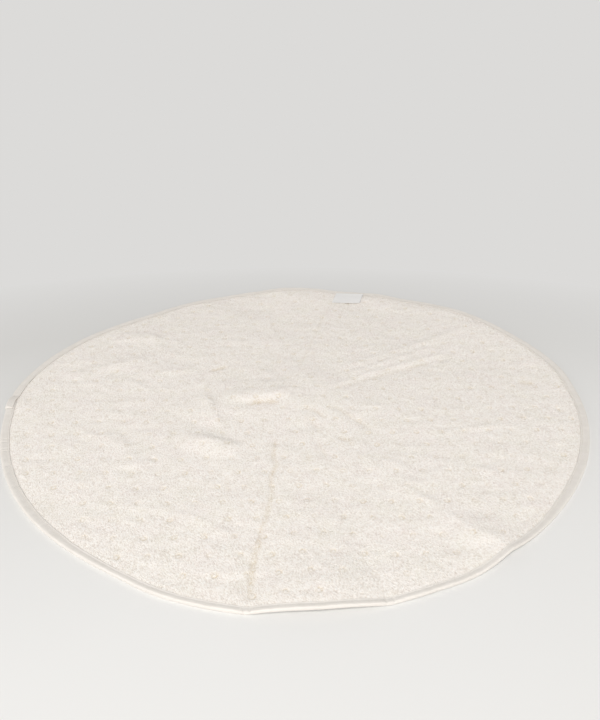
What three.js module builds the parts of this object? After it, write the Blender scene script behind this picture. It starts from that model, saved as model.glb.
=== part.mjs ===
import * as THREE from 'three';

// Round kitchen towel laid out on a table: a terry cloth disc, a bias binding folded
// round its edge with lapped ends, and a small label sewn on at the far edge.
// Millimetres, +Z up, table at z = 0. Angles are in degrees, counter-clockwise from +X.

// Driving dimensions
const DIAMETER = 700;
const CLOTH_THICKNESS = 3;
const EDGE_THICKNESS = 1.2;
const BINDING_WIDTH = 10;
const BINDING_THICKNESS = 1;
const GAP = 0.3;
const LABEL = { x: 84, y: 298, width: 49, depth: 41, turn: -9, thickness: 1, clear: 0.9 };
// The label's near edge stands up by this much at its right end, and by a share of it at its left
const LABEL_CURL = { height: 1.6, left: 0.4 };
// Closer to the rim than this, the label lies on the binding
const LABEL_LANDING = BINDING_WIDTH + 3;
const LAP = { start: 182.6, end: 185, ease: 2.8 };

// Mesh fineness
const SPOKE_STEP = 5.2;
const FOOT = 1.25;
const RING_STEP = 16;
const LABEL_STEPS = { across: 9, along: 7 };

const RADIUS = DIAMETER / 2;
const RIM_CORE = 2 * GAP + EDGE_THICKNESS;
const RIM_UNDER = BINDING_THICKNESS + GAP;

// The cloth is pressed thin under the binding, and swells to its full thickness beside it
const HELD = { until: BINDING_WIDTH + 1, swell: 10 };
// The binding's rounded nose: where its inside begins, how its top bends down to it, and
// its shoulders, as an inset and a share of the height
const NOSE = { inside: BINDING_THICKNESS + 3 * GAP, flat: 2, back: 0.4, drop: 0.25 };
const SHOULDER = { inset: 0.5, share: 0.24 };
// Distances inside the rim of the cloth's outermost rings
const RIM_RINGS = [BINDING_THICKNESS + 4 * GAP, 6, 11, 16, 24];
const DEGREE = Math.PI / 180;

// The rim by angle: radius as a share of the nominal radius, and how high the rim's
// underside stands off the table in mm. A fold row is a sharp turn.
const OUTLINE = [
  { angle: 0, radius: 1.016, lift: 1.2 },
  { angle: 10, radius: 1.027, lift: 2.5 },
  { angle: 25, radius: 1.014, lift: 4 },
  { angle: 43, radius: 0.998, lift: 7 },
  { angle: 50, radius: 0.985, lift: 6 },
  { angle: 59, radius: 0.969, lift: 4 },
  { angle: 66, radius: 0.968, lift: 4.5 },
  { angle: 72, radius: 0.962, lift: 3 },
  { angle: 79, radius: 0.955, lift: 2.5, fold: true },
  { angle: 84, radius: 0.95, lift: 6 },
  { angle: 95, radius: 0.952, lift: 6.5 },
  { angle: 101.3, radius: 0.95, lift: 3, fold: true },
  { angle: 111, radius: 0.952, lift: 0.3 },
  { angle: 122, radius: 0.954, lift: 0 },
  { angle: 133, radius: 0.946, lift: 0 },
  { angle: 143, radius: 0.962, lift: 0.2 },
  { angle: 150, radius: 0.979, lift: 0.6 },
  { angle: 160, radius: 0.997, lift: 1.2 },
  { angle: 170, radius: 1.01, lift: 1.6 },
  { angle: 180, radius: 1.0165, lift: 2 },
  { angle: 185, radius: 1.012, lift: 1.5 },
  { angle: 190, radius: 1.008, lift: 1 },
  { angle: 197, radius: 1.004, lift: 0.3 },
  { angle: 206, radius: 1.001, lift: 0 },
  { angle: 222, radius: 1, lift: 0 },
  { angle: 243, radius: 0.999, lift: 0 },
  { angle: 250, radius: 1.011, lift: 0 },
  { angle: 257, radius: 1.016, lift: 0 },
  { angle: 263.7, radius: 1.0185, lift: 0, fold: true },
  { angle: 268, radius: 1.015, lift: 4.5 },
  { angle: 273, radius: 1.013, lift: 5.5 },
  { angle: 278, radius: 1.011, lift: 4.5 },
  { angle: 283.2, radius: 1.011, lift: 0.3, fold: true },
  { angle: 290, radius: 1.006, lift: 1 },
  { angle: 298, radius: 1.003, lift: 0.5 },
  { angle: 304.7, radius: 0.992, lift: 4.5, fold: true },
  { angle: 310, radius: 0.99, lift: 1 },
  { angle: 318, radius: 0.988, lift: 0 },
  { angle: 326, radius: 0.99, lift: 0 },
  { angle: 335, radius: 0.996, lift: 0 },
  { angle: 345, radius: 1.003, lift: 0.4 },
  { angle: 352, radius: 1.01, lift: 0.8 },
];

// Pressed fold lines, each a straight line towards the rim: its direction, the distance
// at which it passes the middle, where it starts and ends, and the height (a minus is
// a valley) and half width of its crest.
const FOLD_LINES = [
  { direction: 31, offset: -9, from: 60, to: 330, height: 2.6, half: 14 },
  { direction: 78.4, offset: -3.9, from: 60, to: 345, height: -1, half: 8 },
  { direction: 99.9, offset: -8.6, from: 60, to: 345, height: 0.8, half: 8 },
  { direction: 265.9, offset: 13.2, from: 80, to: 350, height: -2.5, half: 12 },
  { direction: 286.5, offset: 20, from: 300, to: 350, height: -1.2, half: 10 },
  { direction: 310.1, offset: 31.8, from: 190, to: 350, height: 1.5, half: 12 },
];

// Soft ridges: the crest runs from one point to the other, and falls away over one half
// width on its right hand and another on its left, and at its ends over a share of both.
const RIDGES = [
  { x0: -262, y0: 166, x1: -210, y1: 154, right: 18, left: 13, height: 3.4 },
  { x0: -302, y0: 127, x1: -282, y1: 125, right: 14, left: 10, height: 1.8 },
  { x0: -288, y0: 46, x1: -222, y1: 82, right: 18, left: 13, height: 2.6 },
  { x0: -210, y0: 47, x1: -146, y1: 58, right: 14, left: 11, height: 1.6 },
  { x0: -240, y0: -96, x1: -214, y1: -97, right: 11, left: 8, height: 1.6 },
  { x0: -126, y0: -92, x1: -86, y1: -122, right: 26, left: 20, height: 4.4 },
  { x0: -64, y0: -13, x1: -16, y1: -9, right: 13, left: 23, height: 3.6 },
  { x0: -66, y0: 63, x1: -42, y1: 53, right: 16, left: 9, height: 1.4 },
  { x0: -196, y0: -111, x1: -173, y1: -147, right: 18, left: 9, height: 2.2 },
  { x0: -130, y0: -190, x1: -188, y1: -240, right: 12, left: 12, height: 1.4 },
  { x0: 248, y0: -138, x1: 274, y1: -138, right: 13, left: 11, height: 1.2 },
  { x0: 42, y0: -46, x1: 70, y1: -80, right: 12, left: 9, height: 1 },
];
const RIDGE_TAIL = 0.6;

// Broad low swells: middle, half length, half width, turn and height.
const SWELLS = [
  { x: -5, y: -5, long: 90, wide: 70, turn: 0, height: 4.2 },
  { x: -95, y: -30, long: 90, wide: 60, turn: 20, height: 2.8 },
  { x: 70, y: -20, long: 90, wide: 60, turn: -30, height: 2.6 },
  { x: -250, y: 100, long: 90, wide: 60, turn: 10, height: 2.6 },
  { x: -200, y: -180, long: 90, wide: 60, turn: -45, height: 2.4 },
  { x: 0, y: 180, long: 90, wide: 130, turn: 0, height: 2.6 },
  { x: 190, y: 130, long: 110, wide: 70, turn: 35, height: 2.8 },
  { x: -85, y: -235, long: 60, wide: 110, turn: -8, height: 2.6 },
  { x: 35, y: -215, long: 80, wide: 120, turn: 4, height: 2.4 },
];

// The mm over which a fold line rises at its start and dies out at its end, the power of
// its crest's fall, and the offsets from the middle inside which its spoke stays steady
const FOLD_FADE = { start: 40, end: 20 };
const FOLD_POWER = 1.5;
const STEADY_OFFSETS = 2.2;

// How deep the broad shape and the crests sink into the table, and how softly they land
const SETTLE = 2;
const CREST_FOOT = 0.2;
const SOFT_LANDING = 1;
// Where the cloth leaves the rim's own height, and where the rim's arches begin
const RIM_HOLD = { from: 16, over: 50 };
const ARCH_START = 190;

/** Eases from 0 to 1 as t goes from 0 to 1. */
function ease(t) {
  const c = Math.min(1, Math.max(0, t));
  return c * c * (3 - 2 * c);
}

function mix(a, b, share) {
  return a + (b - a) * share;
}

/** A smooth closed curve through one column of the outline, read at an angle. */
function rimColumn(column, angle) {
  const count = OUTLINE.length;
  const turned = ((angle % 360) + 360) % 360;
  let index = count - 1;
  while (OUTLINE[index].angle > turned) {
    index -= 1;
  }
  const row = (k) => OUTLINE[(k + count) % count];
  const at = (k) => row(k).angle + 360 * Math.floor(k / count);
  const rise = (k) => (row(k + 1)[column] - row(k)[column]) / (at(k + 1) - at(k));
  const slope = (k, side) => (row(k).fold ? rise(side) : (rise(k - 1) + rise(k)) / 2);
  const span = at(index + 1) - at(index);
  const t = (turned - at(index)) / span;
  const from = slope(index, index) * span;
  const to = slope(index + 1, index) * span;
  const t2 = t * t;
  const t3 = t2 * t;
  return (
    (2 * t3 - 3 * t2 + 1) * row(index)[column] +
    (t3 - 2 * t2 + t) * from +
    (3 * t2 - 2 * t3) * row(index + 1)[column] +
    (t3 - t2) * to
  );
}

function rimRadius(angle) {
  return RADIUS * rimColumn('radius', angle);
}

function rimLift(angle) {
  return Math.max(0, rimColumn('lift', angle));
}

/** How far the edge is pushed up where the binding's ends lie one over the other. */
function lapShare(angle) {
  const before = ease((angle - LAP.start + LAP.ease) / LAP.ease);
  const after = ease((LAP.end + LAP.ease - angle) / LAP.ease);
  return Math.min(before, after);
}

/** The angle at which a fold line crosses a circle of the given radius. */
function foldAngle(line, radius) {
  const steady = Math.max(radius, STEADY_OFFSETS * Math.abs(line.offset));
  return line.direction - Math.asin(line.offset / steady) / DEGREE;
}

function foldLineHeight(line, x, y) {
  const along = x * Math.cos(line.direction * DEGREE) + y * Math.sin(line.direction * DEGREE);
  const across = x * Math.sin(line.direction * DEGREE) - y * Math.cos(line.direction * DEGREE);
  const distance = Math.abs(across - line.offset);
  const start = ease((along - line.from) / FOLD_FADE.start);
  const end = ease((line.to + FOLD_FADE.end - along) / FOLD_FADE.end);
  return line.height * start * end * Math.exp(-((distance / line.half) ** FOLD_POWER));
}

function ridgeHeight(ridge, x, y) {
  const length = Math.hypot(ridge.x1 - ridge.x0, ridge.y1 - ridge.y0);
  const ux = (ridge.x1 - ridge.x0) / length;
  const uy = (ridge.y1 - ridge.y0) / length;
  const along = (x - ridge.x0) * ux + (y - ridge.y0) * uy;
  const across = (y - ridge.y0) * ux - (x - ridge.x0) * uy;
  const past = Math.max(-along, along - length, 0);
  const side = across < 0 ? ridge.right : ridge.left;
  const tail = RIDGE_TAIL * (ridge.right + ridge.left);
  return ridge.height * Math.exp(-((across / side) ** 2) - (past / tail) ** 2);
}

function swellHeight(swell, x, y) {
  const cos = Math.cos(swell.turn * DEGREE);
  const sin = Math.sin(swell.turn * DEGREE);
  const along = ((x - swell.x) * cos + (y - swell.y) * sin) / swell.long;
  const across = ((y - swell.y) * cos - (x - swell.x) * sin) / swell.wide;
  return swell.height * Math.exp(-(along * along) - across * across);
}

/** The broad shape: swells, pressed down along the fold lines that are valleys. */
function broadHeight(x, y) {
  let height = -SETTLE;
  for (const swell of SWELLS) {
    height += swellHeight(swell, x, y);
  }
  for (const line of FOLD_LINES) {
    height += Math.min(0, foldLineHeight(line, x, y));
  }
  return height;
}

/** The crests that stand on it: ridges, and the fold lines that stand up. */
function crestHeight(x, y) {
  let height = -CREST_FOOT;
  for (const ridge of RIDGES) {
    height += ridgeHeight(ridge, x, y);
  }
  for (const line of FOLD_LINES) {
    height += Math.max(0, foldLineHeight(line, x, y));
  }
  return height;
}

/** Holds a height at or above the table, meeting it softly. */
function landed(height) {
  if (height <= 0) {
    return 0;
  }
  return height < SOFT_LANDING ? (height * height) / (2 * SOFT_LANDING) : height - SOFT_LANDING / 2;
}

/** Underside of the cloth at a place, before it rises into the binding. */
function clothLift(x, y) {
  const angle = Math.atan2(y, x) / DEGREE;
  const radius = Math.hypot(x, y);
  const rim = rimRadius(angle);
  const inset = rim - radius;
  const arch = rimLift(angle) * ease((radius - ARCH_START) / (rim - ARCH_START));
  const field = landed(broadHeight(x, y) + arch) + landed(crestHeight(x, y));
  const edge = rimLift(angle) + lapShare(((angle % 360) + 360) % 360) * RIM_UNDER;
  return mix(edge, field, ease((inset - RIM_HOLD.from) / RIM_HOLD.over));
}

/** The cloth's lower and upper surface at a place, thin inside the binding. */
function clothSurfaces(x, y) {
  const inset = rimRadius(Math.atan2(y, x) / DEGREE) - Math.hypot(x, y);
  const held = 1 - ease((inset - HELD.until) / HELD.swell);
  const under = clothLift(x, y) + RIM_UNDER * held;
  return { under, top: under + mix(CLOTH_THICKNESS, EDGE_THICKNESS, held) };
}

/** Angles of the spokes at a radius: the fold lines and the lap's ends, evenly divided. */
function spokeAngles(radius) {
  const lap = [LAP.start - LAP.ease, LAP.start, LAP.end, LAP.end + LAP.ease];
  const stations = [];
  for (const line of FOLD_LINES) {
    for (const side of [-1, 0, 1]) {
      const foot = (side * line.half * FOOT) / DEGREE;
      const here = foldAngle(line, radius) + foot / Math.max(radius, RADIUS / 2);
      stations.push({ rim: foldAngle(line, RADIUS) + foot / RADIUS, here });
    }
  }
  for (const angle of lap) {
    stations.push({ rim: angle, here: angle });
  }
  stations.sort((a, b) => a.rim - b.rim);
  const first = stations[0];
  stations.push({ rim: first.rim + 360, here: first.here + 360 });
  const angles = [];
  for (let s = 0; s + 1 < stations.length; s += 1) {
    const a = stations[s];
    const b = stations[s + 1];
    const steps = Math.ceil((b.rim - a.rim) / SPOKE_STEP);
    for (let k = 0; k < steps; k += 1) {
      angles.push(mix(a.here, b.here, k / steps));
    }
  }
  return angles;
}

/** Distances of the cloth's rings inside the rim: close at the binding, even further in. */
function ringInsets() {
  const insets = [...RIM_RINGS];
  const last = RIM_RINGS[RIM_RINGS.length - 1];
  const rings = Math.round((RADIUS - last) / RING_STEP);
  for (let k = 1; k < rings; k += 1) {
    insets.push(mix(last, RADIUS, k / rings));
  }
  return insets;
}

function bodyFrom(vertices, faces) {
  const geometry = new THREE.BufferGeometry();
  geometry.setAttribute('position', new THREE.Float32BufferAttribute(vertices.flat(), 3));
  geometry.setIndex(faces.flat());
  geometry.computeVertexNormals();
  return geometry;
}

/** Two faces for a four-cornered patch, its corners in order round it. */
function patch(faces, a, b, c, d, cutBD = false) {
  if (cutBD) {
    faces.push([a, b, d], [b, c, d]);
  } else {
    faces.push([a, b, c], [a, c, d]);
  }
}

/** Whether the cut from b to d lies closer to the true surface than the one from a to c. */
function prefersBD(a, b, c, d) {
  const corners = [a, b, c, d];
  const x = corners.reduce((sum, corner) => sum + corner[0], 0) / corners.length;
  const y = corners.reduce((sum, corner) => sum + corner[1], 0) / corners.length;
  const { top } = clothSurfaces(x, y);
  return Math.abs((b[2] + d[2]) / 2 - top) < Math.abs((a[2] + c[2]) / 2 - top);
}

/** The cloth: rings of upper and lower points from the rim to the middle. */
function clothGeometry() {
  const vertices = [];
  const faces = [];
  const insets = ringInsets();
  const spokes = spokeAngles(RADIUS).length;
  const put = (x, y) => {
    const { under, top } = clothSurfaces(x, y);
    vertices.push([x, y, top], [x, y, under]);
  };
  for (const inset of insets) {
    const share = 1 - inset / RADIUS;
    for (const angle of spokeAngles(RADIUS * share)) {
      const rim = rimRadius(angle);
      const radius = mix(rim - inset, rim * share, ease((inset - BINDING_WIDTH) / RADIUS));
      put(radius * Math.cos(angle * DEGREE), radius * Math.sin(angle * DEGREE));
    }
  }
  put(0, 0);
  const top = (ring, spoke) => 2 * (ring * spokes + (spoke % spokes));
  const under = (ring, spoke) => top(ring, spoke) + 1;
  const middle = vertices.length - 2;
  const inner = insets.length - 1;
  for (let s = 0; s < spokes; s += 1) {
    patch(faces, under(0, s), under(0, s + 1), top(0, s + 1), top(0, s));
    for (let r = 0; r < inner; r += 1) {
      const corners = [top(r + 1, s), top(r, s), top(r, s + 1), top(r + 1, s + 1)];
      const cutBD = prefersBD(...corners.map((corner) => vertices[corner]));
      const [a, b, c, d] = corners.map((corner) => corner + 1);
      patch(faces, ...corners, cutBD);
      patch(faces, d, c, b, a, !cutBD);
    }
    faces.push([middle, top(inner, s), top(inner, s + 1)]);
    faces.push([middle + 1, under(inner, s + 1), under(inner, s)]);
  }
  return bodyFrom(vertices, faces);
}

/** Section of the binding: distances inside the rim, and heights above its underside. */
function bindingSection(grow) {
  const wall = BINDING_THICKNESS;
  const height = 2 * wall + RIM_CORE + 2 * grow;
  return [
    [BINDING_WIDTH, height],
    [NOSE.inside + NOSE.flat, height],
    [NOSE.inside - NOSE.back, height - NOSE.drop],
    [SHOULDER.inset, height * (1 - SHOULDER.share)],
    [0, height / 2],
    [SHOULDER.inset, height * SHOULDER.share],
    [NOSE.inside - NOSE.back, 0],
    [BINDING_WIDTH, 0],
    [BINDING_WIDTH, wall],
    [NOSE.inside, wall],
    [wall, height / 2],
    [NOSE.inside, height - wall],
    [BINDING_WIDTH, height - wall],
  ].map(([inset, z]) => [inset - grow, z]);
}

/** The binding: one strip round the edge, its last end lapped over its first. */
function bindingGeometry() {
  const vertices = [];
  const faces = [];
  const all = spokeAngles(RADIUS).map((angle) => ((angle % 360) + 360) % 360);
  const startsAt = (angle) => (angle < LAP.start - GAP ? angle + 360 : angle);
  const once = all.map(startsAt).sort((a, b) => a - b);
  const lapped = once.filter((angle) => angle < LAP.end + GAP).map((angle) => angle + 360);
  const stations = [...once, ...lapped];
  const sides = bindingSection(0).length;
  for (const station of stations) {
    const angle = station % 360;
    const share = lapShare(angle);
    const outer = station > 360 + LAP.start - LAP.ease - GAP;
    const grow = outer ? share * RIM_UNDER : 0;
    const raised = outer || station > 360 ? 0 : share * RIM_UNDER;
    const rim = rimRadius(angle);
    for (const [inset, z] of bindingSection(grow)) {
      const radius = rim - inset;
      vertices.push([
        radius * Math.cos(angle * DEGREE),
        radius * Math.sin(angle * DEGREE),
        rimLift(angle) + raised + z,
      ]);
    }
  }
  const last = stations.length - 1;
  for (let s = 0; s < last; s += 1) {
    for (let k = 0; k < sides; k += 1) {
      const next = (k + 1) % sides;
      patch(faces, s * sides + k, s * sides + next, (s + 1) * sides + next, (s + 1) * sides + k);
    }
  }
  const cap = bindingSection(0).map(([inset, z]) => new THREE.Vector2(-inset, z));
  for (const [a, b, c] of THREE.ShapeUtils.triangulateShape(cap, [])) {
    faces.push([a, b, c]);
    faces.push([c, b, a].map((corner) => last * sides + corner));
  }
  return bodyFrom(vertices, faces);
}

/** Top of whatever lies under the label: the cloth or the binding. */
function topSurface(x, y) {
  const angle = Math.atan2(y, x) / DEGREE;
  const inset = rimRadius(angle) - Math.hypot(x, y);
  const binding = rimLift(angle) + 2 * BINDING_THICKNESS + RIM_CORE;
  const cloth = clothSurfaces(x, y).top;
  return inset < LABEL_LANDING ? Math.max(cloth, binding) : cloth;
}

/** The label: a small rectangle that follows the cloth, its near edge curling up. */
function labelGeometry() {
  const { across, along } = LABEL_STEPS;
  const vertices = [];
  const faces = [];
  const cos = Math.cos(LABEL.turn * DEGREE);
  const sin = Math.sin(LABEL.turn * DEGREE);
  for (let j = 0; j <= along; j += 1) {
    for (let i = 0; i <= across; i += 1) {
      const u = (i / across - 0.5) * LABEL.width;
      const v = (j / along - 0.5) * LABEL.depth;
      const x = LABEL.x + u * cos - v * sin;
      const y = LABEL.y + u * sin + v * cos;
      const curl = LABEL_CURL.height * (1 - j / along) ** 2 * mix(LABEL_CURL.left, 1, i / across);
      const under = topSurface(x, y) + LABEL.clear + curl;
      vertices.push([x, y, under + LABEL.thickness], [x, y, under]);
    }
  }
  const top = (i, j) => 2 * (j * (across + 1) + i);
  const under = (i, j) => top(i, j) + 1;
  for (let j = 0; j < along; j += 1) {
    patch(faces, under(0, j + 1), under(0, j), top(0, j), top(0, j + 1));
    patch(faces, under(across, j), under(across, j + 1), top(across, j + 1), top(across, j));
    for (let i = 0; i < across; i += 1) {
      patch(faces, top(i, j), top(i + 1, j), top(i + 1, j + 1), top(i, j + 1));
      patch(faces, under(i, j), under(i, j + 1), under(i + 1, j + 1), under(i + 1, j));
    }
  }
  for (let i = 0; i < across; i += 1) {
    patch(faces, under(i, 0), under(i + 1, 0), top(i + 1, 0), top(i, 0));
    patch(faces, under(i + 1, along), under(i, along), top(i, along), top(i + 1, along));
  }
  return bodyFrom(vertices, faces);
}

/** Middle of the box round a piece, seen from above. */
function middleOf(geometry) {
  geometry.computeBoundingBox();
  return geometry.boundingBox.getCenter(new THREE.Vector3());
}

const terry = new THREE.MeshStandardMaterial({ color: 0xece5dd, roughness: 0.95, metalness: 0 });
const plainWeave = new THREE.MeshStandardMaterial({ color: 0xe2dacd, roughness: 0.8, metalness: 0 });
const ribbon = new THREE.MeshStandardMaterial({ color: 0xf1f1f2, roughness: 0.6, metalness: 0 });

const rimStrip = bindingGeometry();
const PIECES = [
  { name: 'cloth', geometry: clothGeometry(), material: terry },
  { name: 'binding', geometry: rimStrip, material: plainWeave },
  { name: 'label', geometry: labelGeometry(), material: ribbon },
];

// The origin lies on the table at the middle of the rim's box
const towel = new THREE.Group();
const middle = middleOf(rimStrip);
for (const { name, geometry, material } of PIECES) {
  const mesh = new THREE.Mesh(geometry, material);
  mesh.name = name;
  mesh.position.set(-middle.x, -middle.y, 0);
  towel.add(mesh);
}

export default towel;
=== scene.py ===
"""Round kitchen towel lying open on a pale table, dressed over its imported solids.

The tables give the towel's lying shape in millimetres, in the frame of the part's source.
They follow its tables, but for a few folds, the lap and the label. MIDDLE brings them to
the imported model's origin. Meshes, materials and lights are in metres. Angles are in
degrees, counter-clockwise from +X.
"""

from __future__ import annotations

import logging
import math
from collections.abc import Callable, Mapping, Sequence
from dataclasses import dataclass, field
from enum import Enum
from functools import reduce
from typing import Any, NamedTuple, TypeVar

import bpy
import numpy as np
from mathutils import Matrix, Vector
from mathutils.geometry import delaunay_2d_cdt


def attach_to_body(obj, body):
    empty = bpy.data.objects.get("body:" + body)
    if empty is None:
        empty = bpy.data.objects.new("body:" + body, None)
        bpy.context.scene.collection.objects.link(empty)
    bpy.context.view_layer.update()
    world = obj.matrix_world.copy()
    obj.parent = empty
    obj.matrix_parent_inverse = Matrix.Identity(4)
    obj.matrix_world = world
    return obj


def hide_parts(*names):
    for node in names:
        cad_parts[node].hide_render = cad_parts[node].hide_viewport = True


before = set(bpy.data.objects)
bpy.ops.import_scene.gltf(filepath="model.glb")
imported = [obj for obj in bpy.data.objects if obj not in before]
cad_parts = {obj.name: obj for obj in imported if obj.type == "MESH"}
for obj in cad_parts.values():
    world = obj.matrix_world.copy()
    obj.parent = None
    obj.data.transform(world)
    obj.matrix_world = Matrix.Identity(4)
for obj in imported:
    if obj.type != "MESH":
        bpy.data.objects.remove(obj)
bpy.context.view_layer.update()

LOG = logging.getLogger("towel")
MM = 0.001
MIDDLE = (0.1368, -11.0788)
Array = np.ndarray
Colour = tuple[float, float, float]
Span = tuple[float, float]
Wave = tuple[float, float, float]
Material = bpy.types.Material
Piece = bpy.types.Object
Socket = bpy.types.NodeSocket
Row = TypeVar("Row")


class Slot(Enum):
    """Names of the material slots."""

    TERRY = "terry"
    BINDING = "binding"
    LABEL = "label"


class RimRow(NamedTuple):
    """The rim at one angle: its share of the radius, its lift, and whether it folds there."""

    angle: float
    radius: float
    lift: float
    fold: bool = False


class FoldLine(NamedTuple):
    """A pressed fold line towards the rim. A minus height is a valley."""

    direction: float
    offset: float
    start: float
    end: float
    height: float
    half: float


class Ridge(NamedTuple):
    """A soft ridge from one point to another, with a half width on either hand."""

    x0: float
    y0: float
    x1: float
    y1: float
    right: float
    left: float
    height: float


class Swell(NamedTuple):
    """A broad low swell: middle, half length, half width, turn and height."""

    x: float
    y: float
    long: float
    wide: float
    turn: float
    height: float


class Crease(NamedTuple):
    """A fine crease along a path, with a half width on its right and on its left."""

    path: tuple[tuple[float, float], ...]
    height: float
    right: float
    left: float


class Pucker(NamedTuple):
    """Small bumps all over the cloth: their length, width, turn and height."""

    long: float
    wide: float
    turn: float
    height: float


class Pleat(NamedTuple):
    """A small pleat across the binding: where, how wide in degrees, and how deep."""

    angle: float
    half: float
    depth: float


def named_rows(kind: Callable[..., Row], *rows: tuple[Any, ...]) -> tuple[Row, ...]:
    """Names the values of plain rows."""
    return tuple(kind(*row) for row in rows)


RIM = named_rows(
    RimRow,
    (0, 1.016, 1.2), (10, 1.027, 2.5), (25, 1.014, 4), (43, 0.998, 7), (50, 0.985, 6),
    (59, 0.969, 4), (66, 0.968, 4.5), (72, 0.962, 3), (79, 0.955, 2.5, True), (84, 0.95, 6),
    (95, 0.952, 6.5), (101.3, 0.95, 3, True), (111, 0.952, 0.3), (122, 0.954, 0),
    (133, 0.946, 0), (143, 0.962, 0.2), (150, 0.979, 0.6), (160, 0.997, 1.2), (170, 1.01, 1.6),
    (180, 1.0165, 2), (185, 1.012, 1.5), (190, 1.008, 1), (197, 1.004, 0.3), (206, 1.001, 0),
    (222, 1, 0), (243, 0.999, 0), (250, 1.011, 0), (257, 1.016, 0), (263.7, 1.0185, 0, True),
    (268, 1.015, 4.5), (273, 1.013, 5.5), (278, 1.011, 4.5), (283.2, 1.011, 0.3, True),
    (290, 1.006, 1), (298, 1.003, 0.5), (304.7, 0.992, 4.5, True), (310, 0.99, 1),
    (318, 0.988, 0), (326, 0.99, 0), (335, 0.996, 0), (345, 1.003, 0.4), (352, 1.01, 0.8),
)

FOLD_LINES = named_rows(
    FoldLine,
    (31, -24, 60, 330, 2.4, 11), (78.4, -3.9, 60, 345, -1, 8), (99.9, -8.6, 60, 345, 0.8, 8),
    (265.9, 13.2, 80, 350, -2.5, 12), (286.5, 20, 300, 350, -1.2, 10),
    (310.1, 31.8, 190, 350, 0.8, 12),
)

RIDGES = named_rows(
    Ridge,
    (-262, 166, -210, 154, 18, 13, 3.4), (-302, 127, -282, 125, 14, 10, 1.8),
    (-288, 46, -222, 82, 18, 13, 2.6), (-210, 47, -146, 58, 14, 11, 1.6),
    (-240, -96, -214, -97, 11, 8, 1.6), (-110, -106, -84, -121, 19, 15, 4.4),
    (-64, -13, -16, -9, 13, 18, 3.4), (-66, 63, -42, 53, 16, 9, 1.4),
    (-196, -111, -173, -147, 18, 9, 2.2), (-130, -190, -188, -240, 12, 12, 1.4),
    (248, -138, 274, -138, 13, 11, 1.2), (42, -46, 70, -80, 12, 9, 1),
)

SWELLS = named_rows(
    Swell,
    (-5, -5, 90, 70, 0, 4.2), (-95, -30, 90, 60, 20, 2.8), (70, -20, 90, 60, -30, 2.6),
    (-250, 100, 90, 60, 10, 2.6), (-200, -180, 90, 60, -45, 2.4), (0, 180, 90, 130, 0, 2.6),
    (190, 130, 110, 70, 35, 2.8), (-85, -235, 60, 110, -8, 2.6), (35, -215, 80, 120, 4, 2.4),
)

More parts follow.
